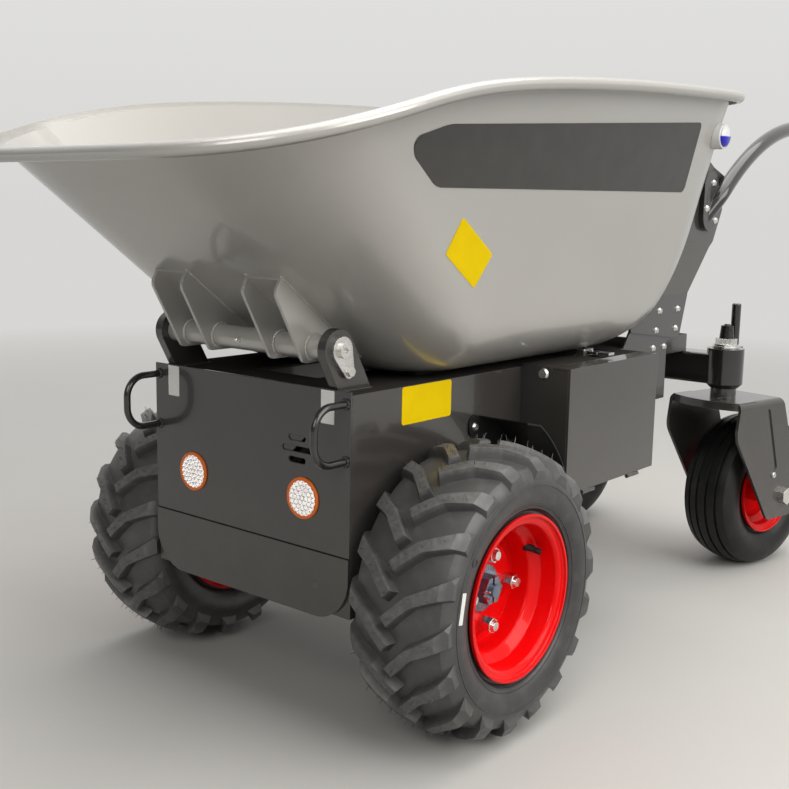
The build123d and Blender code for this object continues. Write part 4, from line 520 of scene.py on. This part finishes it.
# Drive tyre moulding: short rubber hairs left by the mould's vents on the lugs, and raised rings
# on the outer wall.
lug_pairs = 18
lug_path = (Vector((0.036, -0.007)), Vector((-0.002, 0.032)), Vector((-0.030, 0.086)))
tread_radius, tread_fall, shoulder_half = 0.203, 0.014, 0.0683
hair_spots = (0.2, 0.4, 0.6, 0.85, 1.05, 1.25, 1.5)
hair_shift, hair_lengths, hair_sway = 0.005, (0.005, 0.011), 0.3
hair_foot, hair_tip, hair_root = 0.0006, 0.0003, 0.001
worn_below, shoulder_margin = -0.9, 0.003
wall_rings = ((0.1225, 0.0022), (0.1270, 0.0012), (0.1545, 0.0014))
ring_depth, ring_height, ring_probe = 0.003, 0.0007, 0.1
draw = random.Random(7)


def off_axle(radius, turn, aside):
    """Point at a radius and turn about the drive axle's line, aside along it."""
    return Vector((axle.x + radius * math.cos(turn), aside, axle.z + radius * math.sin(turn)))


for side, s in sides:
    centre = Vector((axle.x, s * wheel_offset, axle.z))
    hair_mesh = bmesh.new()
    for lug in range(2 * lug_pairs):
        hand = 1 if lug % 2 == 0 else -1
        for reach in hair_spots:
            leg = int(reach)
            spot = lug_path[leg].lerp(lug_path[leg + 1], reach - leg)
            across = hand * spot.y
            along = spot.x + draw.uniform(-hair_shift, hair_shift)
            angle = math.pi * lug / lug_pairs + math.atan2(along, tread_radius)
            out = Vector((math.sin(angle), 0, math.cos(angle)))
            radius = tread_radius - tread_fall * (across / shoulder_half) ** 2
            length = draw.uniform(*hair_lengths)
            sway = Vector([draw.uniform(-hair_sway, hair_sway) for _ in range(3)])
            if out.z < worn_below or abs(across) > shoulder_half - shoulder_margin:
                continue
            hair = bmesh.ops.create_cone(hair_mesh, cap_ends=True, segments=4, radius1=hair_foot,
                                         radius2=hair_tip, depth=length)
            place = Matrix.Translation(centre + Vector((0, across, 0)) + out * (radius - hair_root))
            stand = (out + sway).to_track_quat("Z", "Y").to_matrix().to_4x4()
            lift = Matrix.Translation((0, 0, length / 2))
            bmesh.ops.transform(hair_mesh, matrix=place @ stand @ lift, verts=hair["verts"])
    piece(f"tyre_hairs_{side}", hair_mesh, tyre_rubber, f"wheel_{side}", smooth=False)

    wall = surface_of(f"tyre_{side}")
    ring_mesh = bmesh.new()
    for radius, width in wall_rings:
        start = off_axle(radius, ring_probe, s * probe_from)
        seat = s * wall.ray_cast(start, Vector((0, -s, 0)))[0].y - wheel_offset
        foot, top = seat - ring_depth, seat + ring_height
        ring_profile = ((foot, radius - width), (top, radius - width / 2), (top, radius + width / 2),
                        (foot, radius + width), (foot, radius - width))
        lathe(ring_mesh, ring_profile, centre, (0, s, 0), 96)
    piece(f"wall_rings_{side}", ring_mesh, tyre_rubber, f"wheel_{side}")

# Valves: rubber stems with plain caps, through the wall of each drive rim beside the disc,
# leaning outwards.
valve_ends = ((148.0, 0.0875, 0.029), (152.5, 0.0880, 0.051))
valve_profile = ((-0.003, 0.0), (-0.003, 0.0068), (0.0015, 0.0068), (0.004, 0.0052), (0.011, 0.0046),
                 (0.0118, 0.0036), (0.0126, 0.0036), (0.0130, 0.0042), (0.0205, 0.0042),
                 (0.0220, 0.0034), (0.0222, 0.0))
for side, s in sides:
    valve_foot, valve_tip = [off_axle(radius, math.radians(turn), s * (wheel_offset + aside))
                             for turn, radius, aside in valve_ends]
    valve_mesh = bmesh.new()
    lathe(valve_mesh, valve_profile, valve_foot, valve_tip - valve_foot, 20)
    piece(f"valve_{side}", valve_mesh, grip_rubber, f"wheel_{side}")

# Marks of the left tyre's outer wall: a bare paper strip laid across it and the small round ring
# of a mould plug.
tyre_wall = surface_of("tyre_left")
strip_turn, strip_radius, strip_half, strip_edge = math.radians(10.2), 0.147, 0.020, 0.0038
strip_out = Vector((math.cos(strip_turn), math.sin(strip_turn)))
strip_along = Vector((-strip_out.y, strip_out.x))
strip_middle = Vector((axle.x, axle.z)) + strip_out * strip_radius
strip_outline = [strip_middle + strip_along * strip_half * a + strip_out * strip_edge * b
                 for a, b in ((-1, -1), (1, -1), (1, 1), (-1, 1))]
lay_film("tyre_strip", tyre_wall, strip_outline, white_foil, "wheel_left", 0.001, 0.005)
plug_turn, plug_radius = math.radians(33.1), 0.1443
plug_profile = ((-0.001, 0.0044), (0.0010, 0.0047), (0.0010, 0.0055), (-0.001, 0.0058), (-0.001, 0.0044))
plug_start = off_axle(plug_radius, plug_turn, probe_from)
plug_seat, plug_way, _, _ = tyre_wall.ray_cast(plug_start, Vector((0, -1, 0)))
plug_mesh = bmesh.new()
lathe(plug_mesh, plug_profile, plug_seat, plug_way, 28)
piece("mould_plug", plug_mesh, tyre_rubber, "wheel_left")

# Grips: soft rubber sleeves with rounded ribs for the palm and a flange at the hand's front,
# pushed over the tube ends. The right one is short, behind the twist throttle's own sleeve.
grip_low, grip_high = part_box("grips")
grip_radius = (grip_high.z - grip_low.z) / 2
grip_y, grip_z = grip_high.y - grip_radius, grip_high.z - grip_radius
left_length, right_length, twist_length = 0.116, 0.057, 0.058
left_flange, twist_flange = 0.003, 0.005
sleeve_body, sleeve_crest, sleeve_bore = 0.0160, 0.0176, 0.0142
closed_end, closed_margin = ((0.0, 0.0), (0.0, 0.0125), (0.0012, 0.0155), (0.004, 0.0172)), 0.009
open_end, open_margin = ((0.0, sleeve_bore), (0.0, 0.0168)), 0.004
rib_pitch, rib_land, rib_fall, rib_foot = 0.007, 0.0035, 0.0045, 0.006
front_margin, flange_back, flange_face = 0.012, 0.008, 0.006


def ribbed_sleeve(mesh, start, length, y, flange=0.0, closed=True):
    """Sleeve from start forwards: evenly spaced ribs, a rounded or open end, an optional front flange."""
    profile = list(closed_end if closed else open_end)
    along = closed_margin if closed else open_margin
    while along < length - front_margin:
        profile += [(along, sleeve_crest), (along + rib_land, sleeve_crest),
                    (along + rib_fall, sleeve_body), (along + rib_foot, sleeve_body)]
        along += rib_pitch
    profile += [(length - flange_back, sleeve_crest), (length - flange_face, sleeve_crest + flange),
                (length, sleeve_crest + flange), (length, sleeve_bore)]
    if not closed:
        profile.append(profile[0])
    lathe(mesh, profile, (start, y, grip_z), (1, 0, 0), 36)


sleeve_mesh = bmesh.new()
ribbed_sleeve(sleeve_mesh, grip_low.x, left_length, grip_y, left_flange)
ribbed_sleeve(sleeve_mesh, grip_low.x, right_length, -grip_y)
sleeves = piece("grip_sleeves", sleeve_mesh, grip_rubber, "chassis")
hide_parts("grips")
twist_mesh = bmesh.new()
ribbed_sleeve(twist_mesh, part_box("throttle_grip")[0].x, twist_length, -grip_y, twist_flange, closed=False)
twist = piece("twist_sleeve", twist_mesh, grip_rubber, "throttle")
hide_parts("throttle_grip")

# Welds: bead runs where the hinge channels meet the skip, round the pivot tube, where the ears
# stand on the deck and round the feet of the tie loops, sprayed over with the coat they are on.
bead_pitch, drop_spread = 0.0034, (0.9, 1.12)
run_radius, ring_bead = 0.0028, 0.0026
tube_low, tube_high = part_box("pivot_tube")
tube_radius = (tube_high.z - tube_low.z) / 2
pivot = Vector((tube_high.x - tube_radius, 0, tube_high.z - tube_radius))
heel, head = Vector((0.5025, 0, 0.513)), Vector((0.6525, 0, 0.626))
channel_faces = (0.058, 0.123)
tube_faces, tube_stand = (0.0574, 0.0636, 0.1174, 0.1236), 0.0008
ear_faces, ear_rear, ear_front, deck_top = (0.1685, 0.1535), 0.533, 0.593, 0.4785
loop_low, loop_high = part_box("tie_loops")
rod_radius, rod_stand, foot_inset = 0.005, 0.0006, 0.001


def weld_drop(mesh, spot, radius):
    """One drop of a bead, a little uneven in size."""
    drop = bmesh.ops.create_icosphere(mesh, subdivisions=1, radius=radius * draw.uniform(*drop_spread))
    bmesh.ops.translate(mesh, vec=spot, verts=drop["verts"])


def weld_run(mesh, start, end):
    """Row of drops from start to end, like a hand-laid bead."""
    start, end = Vector(start), Vector(end)
    count = max(2, int((end - start).length / bead_pitch))
    for index in range(count + 1):
        weld_drop(mesh, start.lerp(end, index / count), run_radius)


def weld_ring(mesh, middle, axis, radius):
    """Ring of drops round a tube or rod."""
    axis = Vector(axis)
    side = axis.orthogonal().normalized()
    count = int(math.tau * radius / bead_pitch)
    for index in range(count):
        way = Matrix.Rotation(math.tau * index / count, 3, axis) @ side
        weld_drop(mesh, Vector(middle) + way * radius, ring_bead)


skip_weld = bmesh.new()
for _, s in sides:
    for face_y in channel_faces:
        aside = Vector((0, s * face_y, 0))
        weld_run(skip_weld, heel + aside, head + aside)
    for face_y in tube_faces:
        weld_ring(skip_weld, pivot + Vector((0, s * face_y, 0)), (0, 1, 0), tube_radius + tube_stand)
piece("hinge_welds", skip_weld, skip_paint, "skip")
ear_weld = bmesh.new()
for _, s in sides:
    for face_y in ear_faces:
        weld_run(ear_weld, (ear_rear, s * face_y, deck_top), (ear_front, s * face_y, deck_top))
piece("ear_welds", ear_weld, anthracite, "chassis")
loop_weld = bmesh.new()
for _, s in sides:
    for foot_z in (loop_low.z + rod_radius, loop_high.z - rod_radius):
        rod_foot = (loop_low.x + foot_inset, s * (loop_high.y - rod_radius), foot_z)
        weld_ring(loop_weld, rod_foot, (1, 0, 0), rod_radius + rod_stand)
piece("loop_welds", loop_weld, black_coat, "chassis")

# Grease nipple in the middle of the pivot tube: a plated collar with a necked ball, looking
# forwards.
nipple_sink, nipple_y = 0.0005, -0.003
nipple_profile = ((0.0, 0.0), (0.0, 0.0042), (0.0032, 0.0042), (0.0034, 0.0026), (0.0048, 0.0022),
                  (0.0058, 0.0030), (0.0070, 0.0030), (0.0080, 0.0018), (0.0080, 0.0))
nipple_mesh = bmesh.new()
nipple_foot = pivot + Vector((tube_radius - nipple_sink, nipple_y, 0))
lathe(nipple_mesh, nipple_profile, nipple_foot, (1, 0, 0), 12)
piece("grease_nipple", nipple_mesh, zinc, "skip")

# Cotter pins: bent wire through the castle nuts of the drive hubs, two legs side by side with
# their ends spread.
pin_radius, pin_half, pin_face = 0.0014, 0.0012, 0.0235
pin_route = ((-0.021, 0.0008, 0.0), (0.017, 0.0008, 0.0), (0.0205, 0.0020, 0.001),
             (0.0225, 0.0070, 0.003), (0.0215, 0.0120, 0.004))


def bent_rod(mesh, points, radius, corners=10):
    """Round rod through a few points: a ring at each one, bridged to the next, with closed ends."""
    rings = []
    for index, point in enumerate(points):
        ahead = points[min(index + 1, len(points) - 1)] - points[max(index - 1, 0)]
        place = Matrix.Translation(point) @ ahead.to_track_quat("Z", "Y").to_matrix().to_4x4()
        ring = bmesh.ops.create_circle(mesh, cap_ends=False, radius=radius, segments=corners,
                                       matrix=place)
        rings.append(list({edge for vert in ring["verts"] for edge in vert.link_edges}))
    for first, second in zip(rings, rings[1:]):
        bmesh.ops.bridge_loops(mesh, edges=first + second)
    bmesh.ops.holes_fill(mesh, edges=rings[0] + rings[-1], sides=corners)


for side, s in sides:
    hub = Vector((axle.x, s * (wheel_offset + pin_face), axle.z))
    cotter_mesh = bmesh.new()
    for lean in (1, -1):
        leg_route = [hub + Vector((x, s * y, lean * (pin_half + z))) for x, y, z in pin_route]
        bent_rod(cotter_mesh, leg_route, pin_radius)
    piece(f"cotter_pin_{side}", cotter_mesh, zinc, f"wheel_{side}")

# Slope gauge face: white dial with a blue lower half under a clear dome, in a white housing on
# the skip's flank.
gauge_low, gauge_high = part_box("slope_gauge")
gauge_middle = (gauge_low + gauge_high) / 2
line_half = 0.0005
dome_profile = ((-0.001, 0.0170), (0.0022, 0.0168), (0.0048, 0.0140), (0.0064, 0.0080), (0.0070, 0.0))
dial_finish, dial_tree = new_finish("gauge_dial", rough=0.12, coat=0.5, shine=0.3)
below = level(dial_tree, coordinate(dial_tree), 1.0, 0.0,
              gauge_middle.z - line_half, gauge_middle.z + line_half)
dial_white = tones(dial_tree, grain(dial_tree, 60.0),
                   (0.3, (0.76, 0.77, 0.78)), (0.7, (0.84, 0.85, 0.86)))
dial_blue = tones(dial_tree, grain(dial_tree, 80.0),
                  (0.3, (0.006, 0.006, 0.44)), (0.7, (0.012, 0.010, 0.58)))
wire(dial_tree, blend_tones(dial_tree, below, dial_white, dial_blue), "Base Color")
relief(dial_tree, (grain(dial_tree, 500.0), 0.03, 0.0003))
dial_mesh = bmesh.new()
lathe(dial_mesh, dome_profile, (gauge_middle.x, gauge_high.y, gauge_middle.z), (0, 1, 0), 32)
piece("gauge_dome", dial_mesh, dial_finish, "skip")

# Leg screws: small socket screws in the left leg of each caster fork, under the pressed groove.
# Both casters stand turned a little, as the machine was rolled into place.
caster_turn = math.radians(12.0)
trail_way = Vector((-math.cos(caster_turn), math.sin(caster_turn), 0))
left_way = Vector((math.sin(caster_turn), math.cos(caster_turn), 0))
swivel_x, swivel_y, leg_face = -0.472, 0.227, 0.084
screw_z, screw_trail = 0.202, 0.066
screw_profile = ((-0.001, 0.0), (-0.001, 0.0058), (0.0024, 0.0058), (0.0032, 0.0048),
                 (0.0032, 0.0030), (0.0010, 0.0028), (0.0010, 0.0))
for side, s in sides:
    screw_mesh = bmesh.new()
    swivel = Vector((swivel_x, s * swivel_y, screw_z))
    screw_spot = swivel + trail_way * screw_trail + left_way * leg_face
    lathe(screw_mesh, screw_profile, screw_spot, left_way, 18)
    piece(f"leg_screw_{side}", screw_mesh, zinc, f"caster_{side}")

# Console trim: chrome collar round the key, yellow collar under the emergency stop, thin frames
# round the rocker switches.
panel_tilt = math.atan2(0.033, 0.086)
panel_out = Vector((-math.cos(panel_tilt), 0, math.sin(panel_tilt)))
panel_middle = Vector((-0.3715, 0, 0.757))
key_y, stop_y, switch_places = 0.150, -0.140, (0.060, -0.030)
key_profile = ((0.0, 0.0096), (0.0, 0.0140), (0.0015, 0.0138), (0.0022, 0.0120),
               (0.0022, 0.0096), (0.0, 0.0096))
stop_profile = ((0.0, 0.0078), (0.0, 0.0225), (0.0020, 0.0225), (0.0030, 0.0210),
                (0.0030, 0.0078), (0.0, 0.0078))
frame_size, frame_band, frame_lift = (0.026, 0.039, 1.0), 0.0030, 0.0012
collar_mesh = bmesh.new()
lathe(collar_mesh, key_profile, panel_middle + Vector((0, key_y, 0)), panel_out, 32)
piece("key_collar", collar_mesh, rod_chrome, "chassis")
stop_mesh = bmesh.new()
lathe(stop_mesh, stop_profile, panel_middle + Vector((0, stop_y, 0)), panel_out, 40)
piece("stop_collar", stop_mesh, yellow_foil, "chassis")
frame_mesh = bmesh.new()
panel_turn = panel_out.to_track_quat("Z", "Y").to_matrix().to_4x4()
for switch_y in switch_places:
    opening = bmesh.ops.create_grid(frame_mesh, x_segments=1, y_segments=1, size=0.5)
    place = Matrix.Translation(panel_middle + Vector((0, switch_y, 0))) @ panel_turn
    bmesh.ops.scale(frame_mesh, vec=frame_size, verts=opening["verts"])
    bmesh.ops.transform(frame_mesh, matrix=place, verts=opening["verts"])
inset = bmesh.ops.inset_individual(frame_mesh, faces=frame_mesh.faces[:], thickness=frame_band, depth=0.0)
inner = [face for face in frame_mesh.faces if face not in inset["faces"]]
bmesh.ops.delete(frame_mesh, geom=inner, context="FACES")
raise_faces(frame_mesh, panel_out * frame_lift)
piece("switch_frames", frame_mesh, case_black, "chassis", smooth=False)

# Studio: a plain pale floor that fades into pale air with distance, dimmer in front of the object
# than behind it; broad lights overhead and on the left, a weak one high in front; the camera.
floor_shown, floor_lighting = (0.60, 0.59, 0.57), (0.26, 0.255, 0.245)
floor_radius, speckle_share = 40.0, 0.975
air_stops = ((0.0, (0.68, 0.675, 0.66)), (0.22, (0.76, 0.755, 0.74)), (0.70, (0.95, 0.945, 0.93)))
air_light = 0.52
front_way, front_dim, front_span = (0.94, -0.28, 0.0), 0.22, (-0.1, 0.8)
fade_start, fade_end = 1.2, 5.0
warm = (1.0, 0.98, 0.945)
studio_lamps = (
    ("overhead_light", (-0.1, 0.4, 3.4), (0.0, 0.0, 0.4), (4.4, 3.6), 104.0),
    ("side_light", (-0.2, 3.6, 2.2), (0.0, 0.0, 0.5), (3.4, 2.2), 84.0),
    ("front_fill", (3.4, 1.4, 2.2), (0.6, 0.0, 0.5), (1.6, 1.6), 32.0),
)
camera_place = (1.6359, 1.1218, 0.7124)
heading, pitch, roll = 3.83246, 0.165173, 0.018092
sensor_width, lens_length = 36.0, 50.94


def seen_rays(tree):
    """1 for rays from the camera, a mirror or glass, 0 for rays that only carry light."""
    rays = tree.nodes.new("ShaderNodeLightPath")
    mirrored = calc(tree, "ADD", rays.outputs["Is Glossy Ray"], rays.outputs["Is Transmission Ray"])
    return calc(tree, "ADD", rays.outputs["Is Camera Ray"], mirrored)


def plain_ground(name):
    """Pale floor with its shadows; seen far off, it takes the colour of the air."""
    finish, tree = new_finish(name, rough=0.85, shine=0.2)
    seen = seen_rays(tree)
    floor_dark = tuple(channel * speckle_share for channel in floor_shown)
    speckle = tones(tree, grain(tree, 3.0, 5.0), (0.3, floor_dark), (0.7, floor_shown))
    wire(tree, blend_tones(tree, seen, floor_lighting, speckle), "Base Color")
    relief(tree, (grain(tree, 60.0, 4.0), 0.05, 0.002))
    away = tree.nodes.new("ShaderNodeVectorMath")
    away.operation = "LENGTH"
    tree.links.new(tree.nodes["Place"].outputs["Object"], away.inputs[0])
    fade = level(tree, away.outputs["Value"], 0.0, 1.0, fade_start, fade_end)
    haze = tree.nodes.new("ShaderNodeEmission")
    haze.inputs["Color"].default_value = (*air_stops[0][1], 1.0)
    blend = tree.nodes.new("ShaderNodeMixShader")
    tree.links.new(calc(tree, "MULTIPLY", seen, fade), blend.inputs["Fac"])
    tree.links.new(tree.nodes["Principled BSDF"].outputs["BSDF"], blend.inputs[1])
    tree.links.new(haze.outputs["Emission"], blend.inputs[2])
    tree.links.new(blend.outputs["Shader"], tree.nodes["Material Output"].inputs["Surface"])
    return finish


floor_mesh = bmesh.new()
bmesh.ops.create_circle(floor_mesh, cap_ends=True, radius=floor_radius, segments=64)
floor_data = bpy.data.meshes.new("floor")
floor_mesh.to_mesh(floor_data)
floor_mesh.free()
floor = bpy.data.objects.new("floor", floor_data)
bpy.context.scene.collection.objects.link(floor)
floor_data.materials.append(plain_ground("pale_floor"))

world = bpy.data.worlds.new("studio_air")
bpy.context.scene.world = world
world.use_nodes = True
air = world.node_tree
sky_way = air.nodes.new("ShaderNodeTexCoord").outputs["Generated"]
backdrop = air.nodes["Background"]
height = air.nodes.new("ShaderNodeSeparateXYZ")
air.links.new(sky_way, height.inputs["Vector"])
air.links.new(tones(air, height.outputs["Z"], *air_stops), backdrop.inputs["Color"])
toward = air.nodes.new("ShaderNodeVectorMath")
toward.operation = "DOT_PRODUCT"
toward.inputs[1].default_value = front_way
air.links.new(sky_way, toward.inputs[0])
dim = level(air, toward.outputs["Value"], 1.0, front_dim, *front_span)
direct = air.nodes.new("ShaderNodeLightPath").outputs["Is Camera Ray"]
shown = calc(air, "MAXIMUM", dim, direct)
strength = calc(air, "MULTIPLY", shown, level(air, seen_rays(air), air_light, 1.0, 0.0, 1.0))
air.links.new(strength, backdrop.inputs["Strength"])

for name, place, target, size, power in studio_lamps:
    lamp = bpy.data.lights.new(name, "AREA")
    lamp.shape = "RECTANGLE"
    lamp.size, lamp.size_y = size
    lamp.energy = power
    lamp.color = warm
    holder = bpy.data.objects.new(name, lamp)
    bpy.context.scene.collection.objects.link(holder)
    holder.location = place
    holder.rotation_mode = "QUATERNION"
    holder.rotation_quaternion = (Vector(target) - Vector(place)).to_track_quat("-Z", "Y")

bpy.context.scene.view_settings.view_transform = "Standard"

camera_data = bpy.data.cameras.new("photo_camera")
camera_data.sensor_width = sensor_width
camera_data.lens = lens_length
camera = bpy.data.objects.new("photo_camera", camera_data)
bpy.context.scene.collection.objects.link(camera)
ahead = Vector((math.cos(pitch) * math.cos(heading), math.cos(pitch) * math.sin(heading),
                -math.sin(pitch)))
across = ahead.cross(Vector((0, 0, 1))).normalized()
upward = across.cross(ahead)
rolled = math.cos(roll) * across + math.sin(roll) * upward
lifted = -math.sin(roll) * across + math.cos(roll) * upward
turn = Matrix((rolled, lifted, -ahead)).transposed()
camera.matrix_world = Matrix.Translation(camera_place) @ turn.to_4x4()
bpy.context.scene.camera = camera
